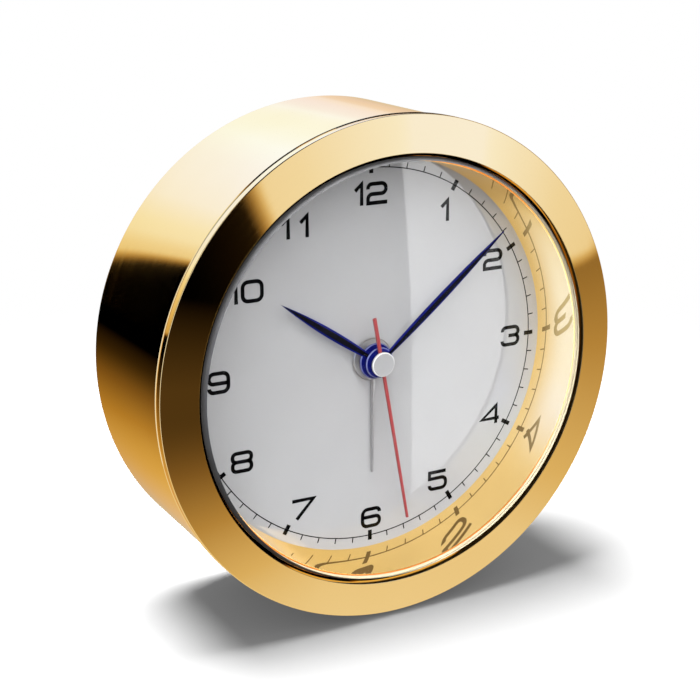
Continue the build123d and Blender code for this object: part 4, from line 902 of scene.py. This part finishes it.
def make_flutes_tree():
    """Rounded flutes pressed into the rim of a turned knob."""
    tree, given, result = new_group("knob_flutes", "GeometryNodeTree", [
        ("Geometry", "Geometry"), ("Int", "Flutes"), ("Float", "Depth", "Inner Radius", "Outer Radius"),
        ("Vector", "Centre"), ("Material", "Material")], [("Geometry", "Geometry")])
    place = add_node(tree, "GeometryNodeInputPosition").outputs[0]
    away = add_node(tree, "ShaderNodeVectorMath", {0: place, 1: given["Centre"]}, operation="SUBTRACT")
    parts = parts_of(tree, away.outputs[0])
    radial = add_node(tree, "ShaderNodeCombineXYZ", {"X": parts["X"], "Z": parts["Z"]}).outputs[0]
    radius = add_node(tree, "ShaderNodeVectorMath", {0: radial}, operation="LENGTH").outputs["Value"]
    angle = calculate(tree, "ARCTAN2", parts["X"], parts["Z"])
    wave = calculate(tree, "COSINE", times(tree, angle, given["Flutes"]))
    dip = calculate(tree, "MULTIPLY_ADD", wave, -0.5, 0.5)
    share = calculate(tree, "DIVIDE", calculate(tree, "SUBTRACT", radius, given["Inner Radius"]),
                      calculate(tree, "SUBTRACT", given["Outer Radius"], given["Inner Radius"]))
    depth = times(tree, dip, given["Depth"], calculate(tree, "MAXIMUM", share, 0.0))
    outward = add_node(tree, "ShaderNodeVectorMath", {0: radial}, operation="NORMALIZE").outputs[0]
    shift = add_node(tree, "ShaderNodeVectorMath", {0: outward, "Scale": times(tree, depth, -1.0)},
                     operation="SCALE").outputs[0]
    moved = add_node(tree, "GeometryNodeSetPosition", {"Geometry": given["Geometry"], "Offset": shift})
    finish_tree(tree, moved.outputs[0], given["Material"], result["Geometry"])
    return tree


def make_knobs():
    tree = make_flutes_tree()
    for body, node in KNOBS:
        low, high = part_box(node)
        radius = (high.z - low.z) / 2
        centre_x = (low.x + high.x) / 2
        centre_z = (low.z + high.z) / 2
        floor = high.y - DISH_DEPTH
        corners = [(0.0, floor - KNOB_FLOOR, 0), (KNOB_BORE, floor - KNOB_FLOOR, 0), (KNOB_BORE, low.y, 0),
                   (radius, low.y, KNOB_FRONT_ROUND), (radius, high.y, KNOB_REAR_ROUND),
                   (DISH_RADIUS + DISH_SLOPE, high.y, DISH_RIM_ROUND), (DISH_RADIUS, floor, DISH_FOOT_ROUND),
                   (0.0, floor, 0)]
        base = turned(node + "_blank", round_corners(corners), KNOB_FLUTES * STEPS_PER_FLUTE,
                      (centre_x, centre_z))
        knob = grown(node.replace("_knob", "_grip"), tree, {
            "Flutes": KNOB_FLUTES, "Depth": FLUTE_DEPTH, "Inner Radius": DISH_RADIUS + FLUTE_START,
            "Outer Radius": radius, "Centre": (centre_x, low.y, centre_z), "Material": KNOB_PLASTIC}, base)
        dress(knob, body, None, [node])


# Screws of the cover, in millimetres; the recess is in shares of the head's radius and height
SCREW_COUNT = 4
SCREW_HEAD = 1.9
SCREW_HEAD_HEIGHT = 0.9
SCREW_HEAD_ROUND = 0.18
SCREW_SHANK = 0.8
SCREW_SHANK_LENGTH = 6.0
SCREW_TIP_ROUND = 0.2
SCREW_STEPS = 64
SCREW_TURN = 1.3
RECESS_ARM = 0.62
RECESS_BLADE = 0.16
RECESS_DEPTH = 0.65
RECESS_TAPER = 0.7
CUTTER_RISE = 0.1


def make_screw_blank():
    """Flat-headed screw with a crossed recess, its head's face at the origin and its shank along -Y."""
    tip = -SCREW_HEAD_HEIGHT - SCREW_SHANK_LENGTH
    corners = [(0.0, 0.0, 0), (SCREW_HEAD, 0.0, SCREW_HEAD_ROUND), (SCREW_HEAD, -SCREW_HEAD_HEIGHT, 0),
               (SCREW_SHANK, -SCREW_HEAD_HEIGHT, 0), (SCREW_SHANK, tip, SCREW_TIP_ROUND), (0.0, tip, 0)]
    blank = turned("screw_blank", round_corners(corners), SCREW_STEPS, (0.0, 0.0))
    cross = bmesh.new()
    arm, blade = SCREW_HEAD * RECESS_ARM, SCREW_HEAD * RECESS_BLADE
    for length, width in ((arm, blade), (blade, arm)):
        sides = [(-length, -width), (length, -width), (length, width), (-length, width)]
        floor = -SCREW_HEAD_HEIGHT * RECESS_DEPTH
        skin(cross, [[cross.verts.new((x * taper, y, z * taper)) for x, z in sides]
                     for taper, y in ((1.0, CUTTER_RISE), (RECESS_TAPER, floor))])
    cutter = piece_from("screw_cutter", cross, smooth=False)
    cut = blank.modifiers.new("recess", "BOOLEAN")
    cut.operation = "DIFFERENCE"
    cut.object = cutter
    cut.use_self = True
    baked(blank).data.transform(Matrix.Scale(MM, 4))
    bpy.data.objects.remove(cutter)
    return blank


def make_screws_tree():
    """Copies of one screw on a circle, each turned a little further than the one before."""
    tree, given, result = new_group("ring_of_screws", "GeometryNodeTree", [
        ("Geometry", "Geometry"), ("Int", "Count"), ("Float", "Circle Radius"), ("Object", "Screw"),
        ("Vector", "Centre"), ("Material", "Material")], [("Geometry", "Geometry")])
    points, turn, _ = ring_points(tree, given["Count"], given["Circle Radius"], given["Centre"])
    screw = add_node(tree, "GeometryNodeObjectInfo", {"Object": given["Screw"]})
    lean = add_node(tree, "ShaderNodeVectorMath", {0: turn, "Scale": SCREW_TURN}, operation="SCALE")
    copies = add_node(tree, "GeometryNodeInstanceOnPoints", {
        "Points": points, "Instance": screw.outputs["Geometry"], "Rotation": lean.outputs[0]})
    finish_tree(tree, copies.outputs[0], given["Material"], result["Geometry"])
    return tree


def make_cover_screws():
    blank = make_screw_blank()
    circle = (SCREWS_HIGH.x - SCREWS_LOW.x) / 2 - SCREW_HEAD * MM
    screws = grown("cover_screw_set", make_screws_tree(), {
        "Count": SCREW_COUNT, "Circle Radius": circle, "Screw": blank, "Centre": (AXIS_X, COVER_REAR, AXIS_Z),
        "Material": STEEL})
    bpy.data.objects.remove(blank)
    dress(screws, "case", None, ["cover_screws"])


def make_back():
    for row in MOULDED:
        softened(*row)
    make_cover_screws()
    make_knobs()


# Finishes of the solids that show as they are

CARRIED_OVER = {
    DIAL_SILVER: ["dial_plate"],
    MOVEMENT_PLASTIC: ["movement_holder", "movement_housing", "movement_front_plate", "train_bridge"],
    WHEEL_PLASTIC: ["coil_bobbin", "rotor_arbor", "intermediate_wheel", "seconds_wheel", "third_wheel",
                    "minute_wheel", "motion_wheel", "hour_wheel", "alarm_wheel"],
    STEEL: ["bridge_screws", "stator", "coil_core", "contact_positive", "contact_negative", "quartz_can"],
    BRASS: ["time_set_arbor", "alarm_set_arbor"],
    COPPER: ["coil_winding"],
    MAGNET: ["rotor_magnet"],
    BOARD: ["circuit_board"],
    BUZZER: ["buzzer"],
    JACKET: ["battery_cell"],
}


def finish_solids():
    for material, nodes in CARRIED_OVER.items():
        for node in nodes:
            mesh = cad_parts[node].data
            mesh.materials.clear()
            mesh.materials.append(material)


# Stage: floor, room, lamps and camera

FLOOR_HALF = 1.5
FLOOR_SQUARES = 8
FLOOR_TONE = 0.62
FLOOR_ROUGHNESS = 0.9
FLOOR_GLOW = 0.02
FLOOR_FADE = (0.07, 0.20)


def make_floor():
    """Pale floor that holds the clock's shadow and fades into the backdrop."""
    shape = bmesh.new()
    bmesh.ops.create_grid(shape, x_segments=FLOOR_SQUARES, y_segments=FLOOR_SQUARES, size=FLOOR_HALF)
    floor = piece_from("studio_floor", shape, smooth=False)
    material, tree, inputs = new_material("studio_floor")
    inputs["Base Color"].default_value = colour(FLOOR_TONE, FLOOR_TONE, FLOOR_TONE)
    inputs["Roughness"].default_value = FLOOR_ROUGHNESS
    inputs["Specular IOR Level"].default_value = 0.0
    inputs["Emission Color"].default_value = WHITE
    path = add_node(tree, "ShaderNodeLightPath").outputs
    tree.links.new(times(tree, path["Is Camera Ray"], FLOOR_GLOW), inputs["Emission Strength"])
    away = add_node(tree, "ShaderNodeVectorMath", {0: object_place(tree)}, operation="LENGTH")
    fade = times(tree, remap(tree, away.outputs["Value"], *FLOOR_FADE), path["Is Camera Ray"])
    mix_in(tree, fade, add_node(tree, "ShaderNodeBsdfTransparent"))
    floor.data.materials.append(material)
    floor.visible_glossy = False
    floor.visible_transmission = False
    floor.visible_diffuse = False
    return floor


def make_panel_group():
    """Soft-edged rectangle of light in the room, by azimuth and elevation, in radians."""
    tree, given, result = new_group("studio_panel", "ShaderNodeTree", [
        ("Float", "Azimuth", "Elevation", "Left", "Right", "Bottom", "Top", "Softness")], [("Float", "Mask")])
    mask = 1.0
    for value, low, high in (("Azimuth", "Left", "Right"), ("Elevation", "Bottom", "Top")):
        for edge, sign in ((low, 1.0), (high, -1.0)):
            inside = times(tree, calculate(tree, "SUBTRACT", given[value], given[edge]), sign)
            blur = calculate(tree, "DIVIDE", inside, given["Softness"])
            mask = times(tree, mask, remap(tree, blur, -1.0, 1.0))
    tree.links.new(mask, result["Mask"])
    return tree


# The room that polished metal and glass mirror. Angles are in degrees; an azimuth of 0 is straight in front
# or straight behind, and grows to the right. A ramp is (start, end, first level, last level).

# The lit floor: on the left it rises twice, the first time by an elevation that leans with depth
LEFT_FLOOR = (-15.5, -40.0, 0.0, 0.92)
LEFT_FLOOR_LEAN = -4.5
LEFT_FLOOR_EDGE = (-8.0, -17.0, 0.0, 0.092)
RIGHT_FLOOR = (4.5, -34.0, 0.0, 1.0)
FLOOR_SIDES = (0.12, 0.75)
# Light panels as (from the back or not, (left, right, bottom, top, softness), level)
PANELS = [(False, (-110.0, -40.0, -40.0, 55.0, 5.0), 1.10), (True, (16.0, 100.0, -45.0, 40.0, 9.0), 0.79)]
# Panels whose level changes across them: the same angles, then ramps by azimuth, and rises by elevation
FRONT_PANEL = (14.3, 54.0, -9.0, 50.0, 1.3)
FRONT_PANEL_RAMPS = [(13.0, 32.0, 1.045, 1.148), (53.5, 40.0, 1.045, 1.148)]
BACK_PANEL = (-22.7, 45.0, -4.0, 80.0, 0.6)
BACK_PANEL_RAMPS = [(-22.4, -17.0, 1.05, 1.22), (-20.0, -4.5, 1.13, 1.22), (-13.3, 8.6, 1.17, 1.22)]
BACK_PANEL_RISES = [(-3.0, 11.3, 0.79, 1.22), (7.3, 17.3, 1.125, 1.22)]
# The quiet part of the room that the crystal mirrors
QUIET = (15.0, 43.0, -31.0, -3.5, 2.0)
# The panel that the dial's lacquer mirrors, its bend about a middle elevation, and its levels
DIAL_PANEL = (31.2, 60.0, -50.0, 50.0, 0.06)
DIAL_PANEL_BEND = 0.664
DIAL_PANEL_MIDDLE = -15.4
DIAL_PANEL_RISE = (-27.0, -8.0, 1.1, 6.3)
DIAL_PANEL_TOP = (-6.0, 2.0, 1.0, 0.15)
# The panels that the wall mirrors, and the elevations between which they turn cool
LEFT_PANELS = [(-60.0, -10.0, -40.0, 30.0, 9.0), (-60.0, 12.0, -62.0, -22.0, 8.0)]
LEFT_PANEL_LEVEL = 3.1
LEFT_PANEL_TONE = colour(0.70, 0.98, 1.9)
LEFT_PANEL_COOLING = (-8.0, 14.0, 0.0, 1.0)
# Light thrown back inside the crystal has gone through more of its faces than this
FACES_PASSED = 3.5
TOP_LEVEL = 1.25
AMBIENT = 0.40

# What polished metal shows of each level of light: warm where it is dim, cool where it is strong
ROOM_TONES = [(0.0, (0.0, 0.0, 0.0)), (0.25, (0.25, 0.17, 0.077)), (0.55, (0.55, 0.42, 0.215)),
              (0.85, (0.85, 0.78, 0.61)), (1.02, (1.02, 1.09, 1.3)), (1.08, (1.06, 1.23, 1.77)),
              (1.14, (1.14, 1.50, 2.9)), (1.20, (1.17, 1.80, 6.2)),
              (1.25, (1.25, 2.30, 10.0))]


def panel_mask(tree, group, azimuth, elevation, angles):
    panel = add_node(tree, "ShaderNodeGroup", {"Azimuth": azimuth, "Elevation": elevation}, node_tree=group)
    for name, value in zip(("Left", "Right", "Bottom", "Top", "Softness"), angles):
        panel.inputs[name].default_value = radians(value)
    return panel.outputs["Mask"]


def ramp_level(tree, angle, ramp, smooth=False):
    start, end, first, last = ramp
    return remap(tree, angle, radians(start), radians(end), first, last, smooth)


def lowest_ramp(tree, angle, ramps):
    level = ramp_level(tree, angle, ramps[0])
    for ramp in ramps[1:]:
        level = calculate(tree, "MINIMUM", level, ramp_level(tree, angle, ramp))
    return level


def room_level(tree, group, parts, from_front, elevation):
    """Level of light that metal mirrors each way: the lit floor, and the panels where they are stronger."""
    from_back = calculate(tree, "ARCTAN2", parts["X"], parts["Y"])
    leaning = calculate(tree, "MULTIPLY_ADD", parts["Y"], radians(LEFT_FLOOR_LEAN), elevation)
    left_floor = calculate(tree, "ADD", ramp_level(tree, leaning, LEFT_FLOOR, smooth=True),
                           ramp_level(tree, elevation, LEFT_FLOOR_EDGE))
    side = remap(tree, parts["X"], *FLOOR_SIDES)
    level = calculate(tree, "ADD", times(tree, ramp_level(tree, elevation, RIGHT_FLOOR), side),
                      times(tree, left_floor, calculate(tree, "SUBTRACT", 1.0, side)))
    panels = [(from_back if behind else from_front, angles, strength) for behind, angles, strength in PANELS]
    panels.append((from_front, FRONT_PANEL, lowest_ramp(tree, from_front, FRONT_PANEL_RAMPS)))
    back_level = calculate(tree, "MINIMUM", lowest_ramp(tree, from_back, BACK_PANEL_RAMPS),
                           lowest_ramp(tree, elevation, BACK_PANEL_RISES))
    panels.append((from_back, BACK_PANEL, back_level))
    for azimuth, angles, strength in panels:
        mask = panel_mask(tree, group, azimuth, elevation, angles)
        level = calculate(tree, "MAXIMUM", level, times(tree, mask, strength))
    quiet = calculate(tree, "SUBTRACT", 1.0, panel_mask(tree, group, from_front, elevation, QUIET))
    return times(tree, level, quiet)


def room_tint(tree, level):
    """Colour that polished metal mirrors at a level of light."""
    tint = add_node(tree, "ShaderNodeValToRGB", {0: calculate(tree, "DIVIDE", level, TOP_LEVEL)})
    stops = tint.color_ramp.elements
    stops.remove(stops[1])
    stops[0].color = colour(*ROOM_TONES[0][1])
    for strength, tone in ROOM_TONES[1:]:
        stops.new(strength / TOP_LEVEL).color = colour(*tone)
    return tint.outputs["Color"]


def inner_light(tree, group, from_front, elevation):
    """Light that the lacquer and the wall mirror inside the crystal, and where it is cool."""
    above = calculate(tree, "SUBTRACT", elevation, radians(DIAL_PANEL_MIDDLE))
    bent = calculate(tree, "MULTIPLY_ADD", times(tree, above, above), DIAL_PANEL_BEND, from_front)
    dial_light = times(tree, panel_mask(tree, group, bent, elevation, DIAL_PANEL),
                       ramp_level(tree, elevation, DIAL_PANEL_RISE),
                       ramp_level(tree, elevation, DIAL_PANEL_TOP, smooth=True))
    left_mask = calculate(tree, "MAXIMUM", *(panel_mask(tree, group, from_front, elevation, angles)
                                             for angles in LEFT_PANELS))
    cool = times(tree, left_mask, ramp_level(tree, elevation, LEFT_PANEL_COOLING, smooth=True))
    return calculate(tree, "MAXIMUM", dial_light, times(tree, left_mask, LEFT_PANEL_LEVEL)), cool


def background(tree, tone, strength=1.0):
    return add_node(tree, "ShaderNodeBackground", {"Color": tone, "Strength": strength}).outputs[0]


def make_room():
    """White backdrop for the camera, panels and lit floor for what mirrors them, even light for the rest."""
    world = bpy.data.worlds.new("studio_room")
    bpy.context.scene.world = world
    world.use_nodes = True
    tree = world.node_tree
    tree.nodes.clear()
    parts = parts_of(tree, add_node(tree, "ShaderNodeTexCoord").outputs["Generated"])
    from_front = calculate(tree, "ARCTAN2", parts["X"], times(tree, parts["Y"], -1.0))
    elevation = calculate(tree, "ARCSINE", parts["Z"])
    group = make_panel_group()
    level = room_level(tree, group, parts, from_front, elevation)
    inner, cool = inner_light(tree, group, from_front, elevation)
    path = add_node(tree, "ShaderNodeLightPath").outputs
    inside = calculate(tree, "GREATER_THAN", path["Transmission Depth"], FACES_PASSED)
    seen_through = calculate(tree, "MULTIPLY_ADD", inside, calculate(tree, "SUBTRACT", inner, level), level)
    inner_tone = blended(tree, times(tree, cool, inside), WHITE, LEFT_PANEL_TONE)
    room = background(tree, WHITE, AMBIENT)
    for ray, other in (("Is Glossy Ray", background(tree, room_tint(tree, level))),
                       ("Is Transmission Ray", background(tree, inner_tone, seen_through)),
                       ("Is Camera Ray", background(tree, WHITE))):
        room = add_node(tree, "ShaderNodeMixShader", {0: path[ray], 1: room, 2: other}).outputs[0]
    tree.links.new(room, add_node(tree, "ShaderNodeOutputWorld").inputs["Surface"])


# Lamps as (name, place, size, power, whether it leaves the floor alone)
LAMPS = [("top_lamp", (-0.125, 0.11, 0.90), 0.55, 20.0, False),
         ("front_lamp", (-0.12, -0.325, 0.293), 0.50, 2.3, True),
         ("dial_lamp", (-0.12, -0.065, 0.493), 0.25, 5.5, True)]


def make_lamp(name, place, size, power):
    """Round lamp that looks at the middle of the clock and is mirrored nowhere."""
    light = bpy.data.lights.new(name, "AREA")
    light.shape = "DISK"
    light.size = size
    light.energy = power
    lamp = bpy.data.objects.new(name, light)
    lamp.location = place
    lamp.rotation_mode = "QUATERNION"
    lamp.rotation_quaternion = (Vector((0.0, 0.0, AXIS_Z)) - Vector(place)).to_track_quat("-Z", "Y")
    lamp.visible_glossy = False
    lamp.visible_transmission = False
    bpy.context.scene.collection.objects.link(lamp)
    return lamp


def make_lamps(floor):
    """Overhead lamp for the shadow under the drum, and two for the dial that leave the floor alone."""
    spared = bpy.data.collections.new("spared_by_dial_lamps")
    spared.objects.link(floor)
    for name, place, size, power, spares_floor in LAMPS:
        lamp = make_lamp(name, place, size, power)
        if spares_floor:
            lamp.light_linking.receiver_collection = spared
    spared.collection_objects[0].light_linking.link_state = "EXCLUDE"


CAMERA_PLACE = (-118.6945 * MM, -211.2667 * MM, 116.9461 * MM)
CAMERA_AZIMUTH = -29.156
CAMERA_ELEVATION = 16.993
CAMERA_ROLL = 0.102
CAMERA_LENS = 75.361
CAMERA_SENSOR = 36.0
CAMERA_CLIP = (0.01, 20.0)


def make_camera():
    azimuth, elevation, roll = radians(CAMERA_AZIMUTH), radians(CAMERA_ELEVATION), radians(CAMERA_ROLL)
    back = Vector((sin(azimuth) * cos(elevation), -cos(azimuth) * cos(elevation), sin(elevation)))
    level = Vector((cos(azimuth), sin(azimuth), 0.0))
    upright = back.cross(level)
    right = level * cos(roll) + upright * sin(roll)
    top = upright * cos(roll) - level * sin(roll)
    data = bpy.data.cameras.new("photo_camera")
    data.lens = CAMERA_LENS
    data.sensor_width = CAMERA_SENSOR
    data.clip_start, data.clip_end = CAMERA_CLIP
    camera = bpy.data.objects.new("photo_camera", data)
    camera.matrix_world = Matrix.Translation(CAMERA_PLACE) @ Matrix((right, top, back)).transposed().to_4x4()
    bpy.context.scene.collection.objects.link(camera)
    bpy.context.scene.camera = camera


make_drum_shell()
make_bezel_ring()
make_domed_crystal()
make_gasket_ring()
make_mirror_wall()
make_numerals()
make_minute_track()
make_dial_marks()
make_hands()
make_back()
finish_solids()
studio_floor = make_floor()
make_room()
make_lamps(studio_floor)
make_camera()
bpy.context.scene.view_settings.view_transform = "Standard"
